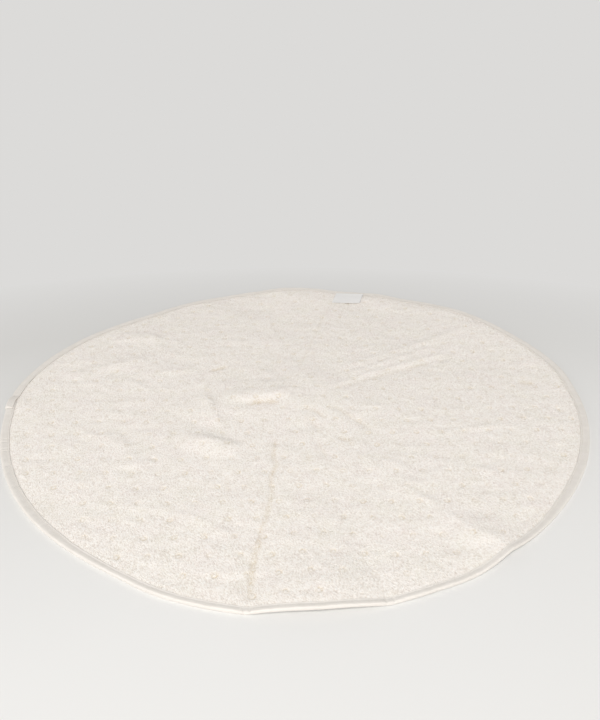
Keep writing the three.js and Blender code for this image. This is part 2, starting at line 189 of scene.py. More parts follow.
CREASES = named_rows(
    Crease,
    (((-232, 178), (-216, 168), (-202, 150)), 0.9, 8, 5),
    (((-278, 145), (-248, 143)), 0.6, 6, 5), (((-310, 85), (-290, 82), (-272, 78)), 0.9, 9, 9),
    (((-325, 18), (-300, 18)), 0.7, 5, 5), (((-120, 56), (-102, 64), (-90, 76)), -1, 5, 6),
    (((-64, 74), (-50, 64), (-38, 50), (-28, 38)), 0.7, 12, 5),
    (((-64, 5), (-48, 11), (-28, 20), (-6, 22), (6, 18)), 0.9, 11, 6),
    (((-14, 55), (-19, 90), (-24, 130), (-33, 170), (-43, 225), (-50, 268)), 0.5, 3, 4),
    (((-118, 145), (-70, 144), (-20, 144)), 0.35, 6, 4), (((-98, 99), (-50, 99)), 0.35, 6, 4),
    (((-149, 190), (-131, 167)), 0.5, 4, 3), (((-281, 143), (-265, 126)), 0.5, 4, 3),
    (((-230, 37), (-182, 5)), 0.6, 5, 4), (((-64, 318), (-10, 319)), 0.6, 8, 5),
    (((-68, -36), (-42, -27), (-10, -29)), -1, 7, 6),
    (((-24, -14), (-14, 2), (2, 6)), 0.7, 7, 5),
    (((-118, 2), (-109, -20), (-101, -40), (-96, -55), (-88, -72), (-80, -82)), 1.7, 15, 5),
    (((-112, -96), (-97, -106), (-76, -112), (-50, -117)), 1.3, 14, 5),
    (((-166, -138), (-150, -152)), 0.7, 8, 5), (((-238, -187), (-205, -179)), 0.8, 8, 8),
    (((-292, -153), (-268, -150)), 0.7, 5, 5),
    (((-180, -218), (-172, -238), (-166, -256)), -0.5, 4, 4),
    (((-134, -233), (-105, -233), (-84, -245), (-62, -260), (-50, -270)), 0.6, 5, 4),
    (((-22, -90), (-24, -135), (-20, -150), (-25, -172), (-24, -205), (-28, -235), (-32, -255),
        (-33, -275), (-37, -300), (-37, -345)), -0.75, 3.4, 3.8),
    (((-32, -262), (-37, -300), (-38, -365)), -0.3, 5, 4),
    (((-72, -165), (-68, -205)), -0.5, 4, 4),
    (((34, -2), (60, 14), (85, 32), (110, 46), (148, 66), (190, 84), (218, 94)), -0.8, 7, 5),
    (((40, 8), (62, 24), (85, 42), (110, 56), (148, 77), (190, 97), (214, 108)), 0.9, 8, 4),
    (((58, 40), (85, 58), (112, 76), (148, 98), (200, 130)), 1.1, 8, 4),
    (((178, 80), (217, 75)), 0.9, 8, 8), (((2, 24), (17, 33), (40, 45)), 0.7, 8, 5),
    (((0, 50), (5, 75), (12, 100), (17, 122), (30, 178), (40, 225), (53, 283)), -0.5, 3, 3),
    (((285, 29), (312, 19)), -1, 6, 6), (((175, 265), (168, 250)), -0.5, 3, 3),
    (((0, -42), (20, -44), (32, -56), (42, -70)), -0.6, 5, 5),
    (((16, -62), (24, -76), (34, -88)), -0.6, 4, 4),
    (((38, -21), (45, -35), (58, -48), (68, -60), (83, -76), (98, -90)), -0.6, 5, 4),
    (((45, -100), (66, -107)), -0.8, 5, 4), (((22, -100), (30, -125), (37, -150)), -0.6, 3, 3),
    (((73, -128), (85, -153), (100, -172)), 0.8, 8, 6),
    (((88, -143), (107, -151), (127, -163)), 0.6, 10, 6),
    (((104, -170), (118, -181), (140, -187)), 0.6, 8, 5),
    (((92, -172), (108, -187), (133, -209), (143, -219), (165, -252), (190, -276)),
        0.85, 18, 4),
    (((170, -86), (200, -82), (235, -76), (250, -74)), 0.7, 5, 5),
    (((150, -43), (235, -40)), 0.35, 6, 4), (((75, -36), (120, -33)), 0.6, 5, 4),
    (((158, -124), (190, -132), (235, -132)), 0.5, 6, 5),
    (((192, -149), (203, -160), (220, -165)), 0.6, 6, 4),
    (((231, -110), (229, -150)), 0.6, 3, 3), (((225, -200), (247, -205)), 0.7, 7, 5),
    (((318, -34), (322, -48)), -0.8, 4, 4),
)

PUCKERS = named_rows(
    Pucker,
    (24, 9, 3, 0.34), (15, 7, -40, 0.26), (10, 8, 25, 0.16), (55, 24, -12, 0.5),
)

PLEATS = named_rows(
    Pleat,
    (197.6, 0.16, 0.7), (198.6, 0.16, 0.8), (200.9, 0.16, 0.8), (201.7, 0.16, 0.6),
    (206.5, 0.25, 0.5), (226, 0.2, 0.4), (263.2, 0.2, 1.2), (264.1, 0.2, 1.0),
    (282.7, 0.18, 0.9), (283.8, 0.18, 1.0), (304.7, 0.25, 0.3),
)

# Ragged edges of the painted shade and of the bare pile along crease valleys.
RAGGED_VALLEY = Pucker(5, 3, 60, 1)
PUCKER_GRID = (89, 97)
BEND_X: tuple[Wave, ...] = ((310, 0.4, 1.2), (97, 2.0, 0.5))
BEND_Y: tuple[Wave, ...] = ((270, 1.3, 1.2), (120, 0.2, 0.6))
STRIP_SINKS: tuple[Wave, ...] = (
    (9.1, 0.3, 0.06), (13.7, 1.1, 0.08), (31.0, 2.0, 0.1), (74.0, 0.7, 0.1),
)
STRIP_WANDERS: tuple[Wave, ...] = ((23.0, 0.5, 0.12), (61.0, 1.9, 0.2))

# Half of the strip's profile, as inset and height over the middle of the fold, mm: from
# the fold's nose to its lip and back inside.
SECTION = (
    (0.0, 0.0), (0.08, 0.75), (0.4, 1.4), (0.9, 1.85), (1.6, 2.08), (2.4, 2.12), (3.4, 2.03),
    (4.6, 1.84), (5.8, 1.62), (7.0, 1.42), (7.9, 1.32), (8.5, 1.33), (9.0, 1.44), (9.5, 1.45),
    (9.88, 1.25), (10.0, 1.02), (9.8, 0.85), (9.2, 0.82), (7.25, 0.75), (5.0, 0.8),
    (2.6, 0.85), (1.3, 0.5),
)


def ease(t: Array) -> Array:
    """Eases from 0 to 1 as t goes from 0 to 1."""
    c = np.clip(t, 0.0, 1.0)
    return c * c * (3.0 - 2.0 * c)


def mix(a: Array | float, b: Array | float, share: Array | float) -> Array | float:
    """Goes from a to b as the share goes from 0 to 1."""
    return a + (b - a) * share


def direction(degrees: float) -> Span:
    """The cosine and the sine of a direction."""
    return math.cos(math.radians(degrees)), math.sin(math.radians(degrees))


def turned(x: Array, y: Array, cos: float, sin: float) -> tuple[Array, Array]:
    """Places measured along a direction and to the left of it."""
    return x * cos + y * sin, y * cos - x * sin


def ripple(values: Array, waves: Sequence[Wave]) -> Array:
    """Adds sine waves, each of a wavelength, a phase and a height."""
    return sum(h * np.sin(2 * math.pi * values / length + phase) for length, phase, h in waves)


def uneven(x: Array, y: Array, pucker: Pucker, seed: int) -> Array:
    """Smooth random unevenness, from a small grid of fixed random heights.

    Args:
        x, y: Places across and away from the viewer, mm.
        pucker: The size and turn of its bumps.
        seed: Which random heights.

    Returns:
        Values between -1 and 1 at each place.
    """
    grid = np.random.default_rng(seed).uniform(-1.0, 1.0, PUCKER_GRID)
    along, across = turned(x, y, *direction(pucker.turn))
    u, v = along / pucker.long, across / pucker.wide
    i, j = np.floor(u).astype(int), np.floor(v).astype(int)
    a, b = ease(u - i), ease(v - j)
    i, j = np.mod([i, i + 1], PUCKER_GRID[0]), np.mod([j, j + 1], PUCKER_GRID[1])
    near = mix(grid[i[0], j[0]], grid[i[1], j[0]], a)
    return mix(near, mix(grid[i[0], j[1]], grid[i[1], j[1]], a), b)


@dataclass(frozen=True)
class LyingShape:
    """The shape in which the towel lies, close to the part's source, in millimetres."""

    radius: float = 350.0
    sheet: float = 3.0
    edge: float = 1.2
    band_width: float = 10.0
    band_wall: float = 1.0
    gap: float = 0.3
    lap_start: float = 184.4
    lap_end: float = 186.8
    lap_ease: float = 2.8
    settle: float = 2.0
    crest_foot: float = 0.2
    landing: float = 1.0
    swell_over: float = 4.0
    ridge_tail: float = 0.6
    arch_start: float = 190.0
    crease_gain: float = 1.5
    deep_crease: float = 2.0
    rolled: float = 0.36
    roll_from: float = 222.0
    roll_to: float = 328.0
    roll_ease: float = 22.0
    swell_gap: float = 0.5
    fold_in: float = 40.0
    fold_out: float = 20.0
    field_inset: float = 16.0
    field_slope: float = 50.0
    fine_inset: float = 11.0
    crease_slope: float = 6.0
    pucker_slope: float = 8.0
    crease_reach: float = 3.2
    crease_fade: float = 25.0

    @property
    def rim_under(self) -> float:
        """Height of the cloth's edge over the binding's underside."""
        return self.band_wall + self.gap

    @property
    def band_height(self) -> float:
        """Height of the flattened binding round the cloth's edge."""
        return 2 * self.band_wall + 2 * self.gap + self.edge

    def rim_column(self, column: str, angle: Array) -> Array:
        """Reads a smooth closed curve through one column of RIM.

        Args:
            column: The column's name.
            angle: Angles in degrees.

        Returns:
            The column's value at each angle.
        """
        at = np.array([row.angle for row in RIM])
        value = np.array([getattr(row, column) for row in RIM], float)
        fold = np.array([row.fold for row in RIM])
        wrapped = np.mod(angle, 360.0)
        index = np.searchsorted(at, wrapped, side="right") - 1
        after = (index + 1) % len(RIM)
        span = np.mod(np.roll(at, -1) - at, 360.0)
        rise = (np.roll(value, -1) - value) / span
        smooth = (np.roll(rise, 1) + rise) / 2
        leave = np.where(fold, rise, smooth)
        arrive = np.where(fold, np.roll(rise, 1), smooth)
        t = (wrapped - at[index]) / span[index]
        t2, t3 = t * t, t * t * t
        return (
            (2 * t3 - 3 * t2 + 1) * value[index]
            + (t3 - 2 * t2 + t) * leave[index] * span[index]
            + (3 * t2 - 2 * t3) * value[after]
            + (t3 - t2) * arrive[after] * span[index]
        )

    def rim_radius(self, angle: Array) -> Array:
        """Distance of the binding's outer edge from the middle."""
        return self.radius * self.rim_column("radius", angle)

    def rim_lift(self, angle: Array) -> Array:
        """Height of the binding's underside over the table."""
        return np.maximum(0.0, self.rim_column("lift", angle))

    def band_share(self, angle: Array) -> Array:
        """How much of the binding's width lies on top: less in front, where it rolls under.

        Args:
            angle: Angles in degrees.

        Returns:
            The share at each angle, 0 to 1.
        """
        at = np.mod(angle, 360.0)
        rolls = ease((at - self.roll_from) / self.roll_ease)
        leaves = ease((self.roll_to - at) / self.roll_ease)
        return 1 - self.rolled * rolls * leaves

    def lap_share(self, angle: Array) -> Array:
        """How far the edge is pushed up where the binding's ends overlap.

        Args:
            angle: Angles in degrees.

        Returns:
            The share at each angle, 0 to 1.
        """
        at = np.mod(angle, 360.0)
        before = ease((at - self.lap_start + self.lap_ease) / self.lap_ease)
        after = ease((self.lap_end + self.lap_ease - at) / self.lap_ease)
        return np.minimum(before, after)

    def fold_height(self, line: FoldLine, x: Array, y: Array) -> Array:
        """Height of one pressed fold line.

        Args:
            line: The fold line.
            x, y: Places across and away from the viewer, mm.

        Returns:
            Its height at each place, mm.
        """
        along, left = turned(x, y, *direction(line.direction))
        starts = ease((along - line.start) / self.fold_in)
        stops = ease((line.end + self.fold_out - along) / self.fold_out)
        fall = np.exp(-((np.abs(left + line.offset) / line.half) ** 1.5))
        return line.height * (starts * stops) * fall

    def ridge_height(self, ridge: Ridge, x: Array, y: Array) -> Array:
        """Height of one soft ridge.

        Args:
            ridge: The ridge.
            x, y: Places across and away from the viewer, mm.

        Returns:
            Its height at each place, mm.
        """
        length = math.hypot(ridge.x1 - ridge.x0, ridge.y1 - ridge.y0)
        ux, uy = (ridge.x1 - ridge.x0) / length, (ridge.y1 - ridge.y0) / length
        along, across = turned(x - ridge.x0, y - ridge.y0, ux, uy)
        past = np.maximum(np.maximum(-along, along - length), 0.0)
        side = np.where(across < 0, ridge.right, ridge.left)
        fade = past / (self.ridge_tail * (ridge.right + ridge.left))
        return ridge.height * np.exp(-((across / side) ** 2) - fade**2)

    def swell_height(self, swell: Swell, x: Array, y: Array) -> Array:
        """Height of one broad swell.

        Args:
            swell: The swell.
            x, y: Places across and away from the viewer, mm.

        Returns:
            Its height at each place, mm.
        """
        along, across = turned(x - swell.x, y - swell.y, *direction(swell.turn))
        return swell.height * np.exp(-((along / swell.long) ** 2) - (across / swell.wide) ** 2)

    def landed(self, height: Array) -> Array:
        """Holds a height at or above the table, meeting it softly.

        Args:
            height: Heights, mm, also below the table.

        Returns:
            The held heights, mm.
        """
        soft = height * height / (2 * self.landing)
        clear = height - self.landing / 2
        return np.where(height <= 0, 0.0, np.where(height < self.landing, soft, clear))

    def inset(self, x: Array, y: Array) -> Array:
        """Distance of places inside the rim."""
        return self.rim_radius(np.degrees(np.arctan2(y, x))) - np.hypot(x, y)

    def lift(self, x: Array, y: Array) -> Array:
        """Height of the cloth's underside, before it rises into the binding.

        Args:
            x, y: Places across and away from the viewer, mm.

        Returns:
            The height at each place, mm.
        """
        angle = np.degrees(np.arctan2(y, x))
        radius = np.hypot(x, y)
        rim = self.rim_radius(angle)
        folds = [self.fold_height(line, x, y) for line in FOLD_LINES]
        broad = sum(self.swell_height(s, x, y) for s in SWELLS) - self.settle
        broad = broad + sum(np.minimum(0.0, fold) for fold in folds)
        crest = sum(self.ridge_height(r, x, y) for r in RIDGES) - self.crest_foot
        crest = crest + sum(np.maximum(0.0, fold) for fold in folds)
        arch = self.rim_lift(angle) * ease((radius - self.arch_start) / (rim - self.arch_start))
        field_height = self.landed(broad + arch) + self.landed(crest)
        edge = self.rim_lift(angle) + self.lap_share(angle) * self.rim_under
        inner = ease((rim - radius - self.field_inset) / self.field_slope)
        return mix(edge, field_height, inner)

    def creased(self, x: Array, y: Array) -> Array:
        """Height that the fine creases add.

        Args:
            x, y: Places across and away from the viewer, mm.

        Returns:
            The height at each place, mm, minus in a valley.
        """
        total = np.zeros(x.size)
        for crease in CREASES:
            total += self.crease_height(crease, x.ravel(), y.ravel())
        inside = ease((self.inset(x, y) - self.fine_inset) / self.crease_slope)
        return self.crease_gain * total.reshape(x.shape) * inside

    def puckered(self, x: Array, y: Array) -> Array:
        """Height that the small puckers add to the top, mm."""
        bumps = [p.height * uneven(x, y, p, seed) for seed, p in enumerate(PUCKERS)]
        return sum(bumps) * ease((self.inset(x, y) - self.fine_inset) / self.pucker_slope)

    def crease_height(self, crease: Crease, x: Array, y: Array) -> Array:
        """Height of one fine crease.

        Args:
            crease: The crease.
            x, y: Places across and away from the viewer, mm.

        Returns:
            Its height at each place, mm.
        """
        path = smooth_path(crease.path)
        reach = self.crease_reach * max(crease.right, crease.left)
        lo, hi = path.min(0) - reach, path.max(0) + reach
        near = np.flatnonzero((x > lo[0]) & (x < hi[0]) & (y > lo[1]) & (y < hi[1]))
        result = np.zeros_like(x)
        if len(near) == 0:
            return result
        steps = np.diff(path, axis=0)
        lengths = np.hypot(steps[:, 0], steps[:, 1])
        before = np.concatenate([[0.0], np.cumsum(lengths)])
        unit = steps / lengths[:, None]
        dx = x[near, None] - path[None, :-1, 0]
        dy = y[near, None] - path[None, :-1, 1]
        along = dx * unit[None, :, 0] + dy * unit[None, :, 1]
        held = np.clip(along, 0.0, lengths[None, :])
        off_x, off_y = dx - held * unit[None, :, 0], dy - held * unit[None, :, 1]
        distance = np.hypot(off_x, off_y)
        nearest = distance.argmin(1)
        rows = np.arange(len(near))
        side = unit[nearest, 0] * off_y[rows, nearest] - unit[nearest, 1] * off_x[rows, nearest]
        where = before[nearest] + held[rows, nearest]
        total = before[-1]
        fade_in = min(total / 3, self.crease_fade)
        ends = ease(where / fade_in) * ease((total - where) / fade_in)
        half = np.where(side < 0, crease.right, crease.left)
        fall = np.exp(-((distance[rows, nearest] / half) ** 1.6))
        result[near] = crease.height * ends * fall
        return result

    def surfaces(self, x: Array, y: Array) -> tuple[Array, Array]:
        """The cloth's underside and top, thin inside the binding.

        Args:
            x, y: Places across and away from the viewer, mm.

        Returns:
            The heights of the underside and of the top, mm.
        """
        inset = self.inset(x, y)
        band = self.band_width * self.band_share(np.degrees(np.arctan2(y, x)))
        held = 1 - ease((inset - band - self.swell_gap) / self.swell_over)
        lift = self.lift(x, y) + self.rim_under * held
        fine = self.creased(x, y)
        top = lift + mix(self.sheet, self.edge, held) + fine + self.puckered(x, y)
        under = np.maximum(0.0, np.minimum(lift + fine, top - self.edge))
        return under, np.maximum(top, under + self.edge)


def smooth_path(points: Sequence[tuple[float, float]], steps: int = 6) -> Array:
    """A smooth line through points.

    Args:
        points: The points it passes through.
        steps: Straight pieces between two of them.

    Returns:
        One row for each point of the line.
    """
    p = np.array(points, float)
    padded = np.vstack([2 * p[0] - p[1], p, 2 * p[-1] - p[-2]])
    line = []
    for k in range(len(p) - 1):
        a, b, c, d = padded[k : k + 4]
        for t in np.arange(steps) / steps:
            line.append(
                0.5 * (2 * b + (c - a) * t + (2 * a - 5 * b + 4 * c - d) * t**2)
                + 0.5 * (3 * b - a - 3 * c + d) * t**3
            )
    line.append(p[-1])
    return np.array(line)


def placed(points: Array) -> Array:
    """Brings points of the tables' frame, mm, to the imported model's, metres."""
    return (np.asarray(points, float) - [*MIDDLE, 0.0]) * MM


def add_object(name: str, data: bpy.types.ID | None) -> Piece:
    """Adds an object to the scene.

    Args:
        name: Its name.
        data: Its mesh, camera or lamp.

    Returns:
        The new object.
    """
    piece = bpy.data.objects.new(name, data)
    bpy.context.scene.collection.objects.link(piece)
    return piece


def smooth_object(name: str, points: Array, faces: Sequence[Sequence[int]]) -> Piece:
    """Adds a smooth mesh object.

    Args:
        name: Its name.
        points: One row a point, metres.
        faces: Corner numbers of each face, counter-clockwise seen from outside.

    Returns:
        The new object, at the origin.
    """
    mesh = bpy.data.meshes.new(name)
    mesh.from_pydata(points.tolist(), [], [list(map(int, f)) for f in faces])
    mesh.shade_smooth()
    mesh.update()
    return add_object(name, mesh)


def write_values(mesh: bpy.types.Mesh, name: str, values: Array) -> None:
    """Writes an attribute with one value for each point."""
    mark = mesh.attributes.new(name, "FLOAT", "POINT")
    mark.data.foreach_set("value", values.astype(np.float32))


def write_weave(piece: Piece, corners: Array) -> None:
    """Writes the UV map that the weave follows, one row for each corner, metres."""
    layer = piece.data.uv_layers.new(name="weave")
    layer.data.foreach_set("uv", corners.astype(np.float32).ravel())


def attach(piece: Piece, material: Material | None = None) -> None:
    """Gives a piece its body, and its slot and material where it has none yet.

    Args:
        piece: The piece.
        material: Its material, if its mesh has none.
    """
    if material is not None:
        piece.data.materials.append(material)
    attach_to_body(piece, "root")
    triangles = sum(len(face.vertices) - 2 for face in piece.data.polygons)
    LOG.info("%s: %d triangles", piece.name, triangles)


class Tree:
    """Adds nodes to a node tree and joins them."""

    def __init__(self, tree: bpy.types.NodeTree) -> None:
        """Starts on a tree, which it empties."""
        tree.nodes.clear()
        self.tree = tree

    def add(
        self,
        kind: str,
        inputs: Mapping[str | int, Any] | None = None,
        **settings: Any,
    ) -> bpy.types.Node:
        """Adds one node.

        Args:
            kind: The node's type.
            inputs: Sockets or values for its inputs, by name or number.
            settings: Values for the node's own properties.

        Returns:
            The new node.
        """
        node = self.tree.nodes.new(kind)
        for name, value in settings.items():
            setattr(node, name, value)
        for name, value in (inputs or {}).items():
            if isinstance(value, Socket):
                self.tree.links.new(value, node.inputs[name])
            else:
                node.inputs[name].default_value = value
        return node

    def math(self, operation: str, *values: Any) -> Socket:
        """The result of one Math node, for shaders and Geometry Nodes alike."""
        node = self.add("ShaderNodeMath", dict(enumerate(values)), operation=operation)
        return node.outputs[0]

    def place(self) -> Socket:
        """The Object coordinates."""
        return self.add("ShaderNodeTexCoord").outputs["Object"]

    def weigh(self, *parts: tuple[Any, float]) -> Socket:
        """Adds up values, each times its weight."""
        weighed = [self.math("MULTIPLY", value, weight) for value, weight in parts]
        return reduce(lambda total, part: self.math("ADD", total, part), weighed)

    def blend(self, share: Any, a: Any, b: Any) -> Socket:
        """A colour that goes from a to b as the share goes from 0 to 1."""
        a, b = ((*c, 1) if isinstance(c, tuple) else c for c in (a, b))
        return self.add("ShaderNodeMix", {"Factor": share, 6: a, 7: b}, data_type="RGBA").outputs[2]

    def noise(self, place: Any, scale: float, detail: float = 2.0) -> Socket:
        """A noise pattern, from about 0.2 to 0.8, with scale cells to the metre."""
        inputs = {"Vector": place, "Scale": scale, "Detail": detail, "Roughness": 0.6}
        return self.add("ShaderNodeTexNoise", inputs).outputs["Fac"]

    def spread(self, value: Any, low: float, high: float) -> Socket:
        """Stretches the part of a value between low and high to 0 to 1."""
        inputs = {"Value": value, "From Min": low, "From Max": high}
        return self.add("ShaderNodeMapRange", inputs, clamp=True).outputs[0]


def surface_tree(name: str) -> tuple[Material, Tree]:
    """A new material and its empty tree.

    Args:
        name: The material's name.

    Returns:
        The material, and the tree to fill.
    """
    material = bpy.data.materials.new(name)
    material.use_nodes = True
    return material, Tree(material.node_tree)


def close_surface(
    tree: Tree, colour: Any, relief: Any, strength: float, depth: float, **shader: float
) -> None:
    """Ends a material in a bumped Principled shader.

    Args:
        tree: The material's tree.
        colour: The socket that gives its colour.
        relief: The socket that gives its height.
        strength: How strong its bump is.
        depth: How deep its bump is, metres.
        shader: Constant values of the shader, with _ for a space in their names.
    """
    bump = {"Height": relief, "Strength": strength, "Distance": depth}
    inputs: dict[str | int, Any] = {"Base Color": colour}
    inputs["Normal"] = tree.add("ShaderNodeBump", bump).outputs[0]
    inputs.update({name.replace("_", " "): value for name, value in shader.items()})
    principled = tree.add("ShaderNodeBsdfPrincipled", inputs)
    tree.add("ShaderNodeOutputMaterial", {"Surface": principled.outputs[0]})


@dataclass(frozen=True)
class TerryFinish:
    """Matte cream terry: a grain of loops, soft clumps of tint, painted shade in the hollows
    between loops, painted highlights on their tips, and painted shade where the attribute shade
    asks for it.
    """

    cream: Colour = (0.945, 0.897, 0.845)
    rosy: Colour = (0.95, 0.883, 0.84)
    straw: Colour = (0.94, 0.897, 0.82)
    # Painted light: the next three colours are painted shade in the loop hollows, a painted
    # highlight on the loop tips, and painted shade in the dots and deep creases.
    hollow_shade: Colour = (0.63, 0.555, 0.485)
    crown_highlight: Colour = (0.985, 0.96, 0.925)
    dot_and_crease_shade: Colour = (0.68, 0.56, 0.38)
    loops_per_metre: float = 780.0
    loop_turn: float = 0.6
    loop_size: tuple[float, float, float] = (0.8, 2.0, 1.0)
    grains_per_loop: float = 1.2
    tufts_per_metre: float = 150.0
    clumps_per_metre: float = 30.0
    depth: float = 0.0012
    hollow_shade_share: float = 0.55
    crown_highlight_share: float = 0.9
    straw_clumps: Span = (0.35, 0.62)
    cream_tufts: Span = (0.3, 0.7)
    low_tufts: Span = (0.5, 0.3)
    low_tuft_share: float = 0.35
    low_loops: Span = (0.5, 0.32)
    high_loops: Span = (0.5, 0.66)
    low_grains: Span = (0.58, 0.4)
    # How strongly the fine grain breaks the painted shade into specks.
    shade_speck_gain: float = 1.4
    least_shade_speck: float = 0.3

    def material(self) -> Material:
        """Builds the material.

        Returns:
            The material, which reads Object coordinates and the attribute shade.
        """
        material, tree = surface_tree("terry")
        place = tree.place()
        slant = {"Vector": place, "Rotation": (0.0, 0.0, self.loop_turn), "Scale": self.loop_size}
        slanted = tree.add("ShaderNodeMapping", slant, vector_type="TEXTURE").outputs[0]
        loops = tree.noise(slanted, self.loops_per_metre, 3.0)
        grains = tree.noise(place, self.loops_per_metre * self.grains_per_loop)
        clumps = tree.noise(place, self.clumps_per_metre, 3.0)
        tufts = tree.noise(place, self.tufts_per_metre)
        tint = tree.blend(tree.spread(clumps, *self.straw_clumps), self.rosy, self.straw)
        tint = tree.blend(tree.spread(tufts, *self.cream_tufts), tint, self.cream)
        low_tufts = tree.spread(tufts, *self.low_tufts)
        low_loops = tree.spread(loops, *self.low_loops)
        sunk = tree.math("MULTIPLY_ADD", low_tufts, self.low_tuft_share, low_loops)
        # Painted shade: the low parts of the loop and tuft noise take the darker hollow colour.
        pit_shade = tree.math("MULTIPLY", sunk, self.hollow_shade_share)
        # Painted highlight: the high parts of the loop noise take the lighter crown colour.
        tip_highlight = tree.math("MULTIPLY", tree.spread(loops, *self.high_loops), self.crown_highlight_share)
        tint = tree.blend(tip_highlight, tree.blend(pit_shade, tint, self.hollow_shade), self.crown_highlight)
        # Painted shade: the attribute shade mixes in a dark yellow-brown in the dots' grooves and
        # deep crease valleys, broken into specks.
        shade = tree.add("ShaderNodeAttribute", attribute_name="shade").outputs["Fac"]
        low_grains = tree.spread(grains, *self.low_grains)
        shade_specks = tree.math("MULTIPLY_ADD", low_grains, self.shade_speck_gain, self.least_shade_speck)
        colour = tree.blend(tree.math("MULTIPLY", shade, shade_specks), tint, self.dot_and_crease_shade)
        relief = tree.weigh((loops, 0.8), (grains, 0.4), (tufts, 0.4))
        shine = {"Roughness": 0.95, "Sheen_Weight": 0.1, "Specular_IOR_Level": 0.15}
        close_surface(tree, colour, relief, 0.8, self.depth, **shine)
        return material


@dataclass(frozen=True)
class WeaveFinish:
    """Fine plain weave, whose threads follow the strip's own UV map."""

    name: str
    thread: Colour
    shadow: Colour
    threads_per_metre: float
    depth: float
    roughness: float = 0.8
    slubs_per_metre: float = 900.0
    worn_per_metre: float = 70.0

    def material(self) -> Material:
        """Builds the material.

        Returns:
            The material, which reads Object coordinates and the UV map weave, in metres.
        """
        material, tree = surface_tree(self.name)
        uv = tree.add("ShaderNodeUVMap", uv_map="weave").outputs[0]
        place = tree.place()
        split = tree.add("ShaderNodeSeparateXYZ", {"Vector": uv}).outputs
        turns = 2 * math.pi * self.threads_per_metre
        warp = tree.math("SINE", tree.math("MULTIPLY", split[0], turns))
        weft = tree.math("SINE", tree.math("MULTIPLY", split[1], turns))
        checks = tree.spread(tree.math("MULTIPLY", warp, weft), -1.0, 1.0)
        slubs = tree.noise(place, self.slubs_per_metre)
        worn = tree.noise(place, self.worn_per_metre, 3.0)
        share = tree.spread(tree.weigh((checks, 0.35), (worn, 0.75)), 0.2, 0.75)
        colour = tree.blend(share, self.shadow, self.thread)
        relief = tree.weigh((checks, 0.6), (slubs, 0.6))
        shine = {"Roughness": self.roughness, "Sheen_Weight": 0.1, "Specular_IOR_Level": 0.25}
        close_surface(tree, colour, relief, 0.5, self.depth, **shine)
        return material


@dataclass(frozen=True)
class ThreadFinish:
    """Spun sewing thread, with a twist across each stitch."""

    cotton: Colour = (0.74, 0.68, 0.6)
    twist: Colour = (0.5, 0.44, 0.37)
    strands_per_metre: float = 2600.0

    def material(self) -> Material:
        """Builds the material.

        Returns:
            The material, which reads Object coordinates.
        """
        material, tree = surface_tree("thread")
        strands = tree.noise(tree.place(), self.strands_per_metre, 1.0)
        colour = tree.blend(tree.spread(strands, 0.3, 0.7), self.twist, self.cotton)
        shine = {"Roughness": 0.7, "Sheen_Weight": 0.1, "Specular_IOR_Level": 0.3}
        close_surface(tree, colour, strands, 0.5, 0.0002, **shine)
        return material


@dataclass(frozen=True)
class TableFinish:
    """The plain pale table top, with painted shade that greys it towards the back and the left, and
    its evenly glowing backdrop.
    """

    pale: Colour = (0.818, 0.814, 0.802)
    back_shade: Colour = (0.72, 0.715, 0.70)
    backdrop: Colour = (0.716, 0.708, 0.695)
    near: float = -0.3
    far: float = 0.35
    glow_from: float = 0.48
    glow_full: float = 0.72
    glow_behind: float = 0.25
    glow_across: float = 0.7
    lean: float = -0.5

    def material(self) -> Material:
        """Builds the material.

        Returns:
            The material, which reads Object coordinates.
        """
        material, tree = surface_tree("table top")
        split = tree.add("ShaderNodeSeparateXYZ", {"Vector": tree.place()}).outputs
        behind = tree.math("ADD", split[1], self.glow_behind)
        beside = tree.math("MULTIPLY", split[0], self.glow_across)
        flat = tree.add("ShaderNodeCombineXYZ", {"X": beside, "Y": behind}).outputs[0]
        away = tree.add("ShaderNodeVectorMath", {0: flat}, operation="LENGTH").outputs[1]
        # Painted shade: the top greys from its pale colour towards the back and the left.
        back = tree.math("MULTIPLY_ADD", split[0], self.lean, split[1])
        colour = tree.blend(tree.spread(back, self.near, self.far), self.pale, self.back_shade)
        plain = tree.add("ShaderNodeBsdfDiffuse", {"Color": colour}).outputs[0]
        light = {"Color": (*self.backdrop, 1), "Strength": 1.0}
        glow = tree.add("ShaderNodeEmission", light).outputs[0]
        share = tree.spread(away, self.glow_from, self.glow_full)
        mixed = tree.add("ShaderNodeMixShader", {0: share, 1: plain, 2: glow}).outputs[0]
        tree.add("ShaderNodeOutputMaterial", {"Surface": mixed})
        return material


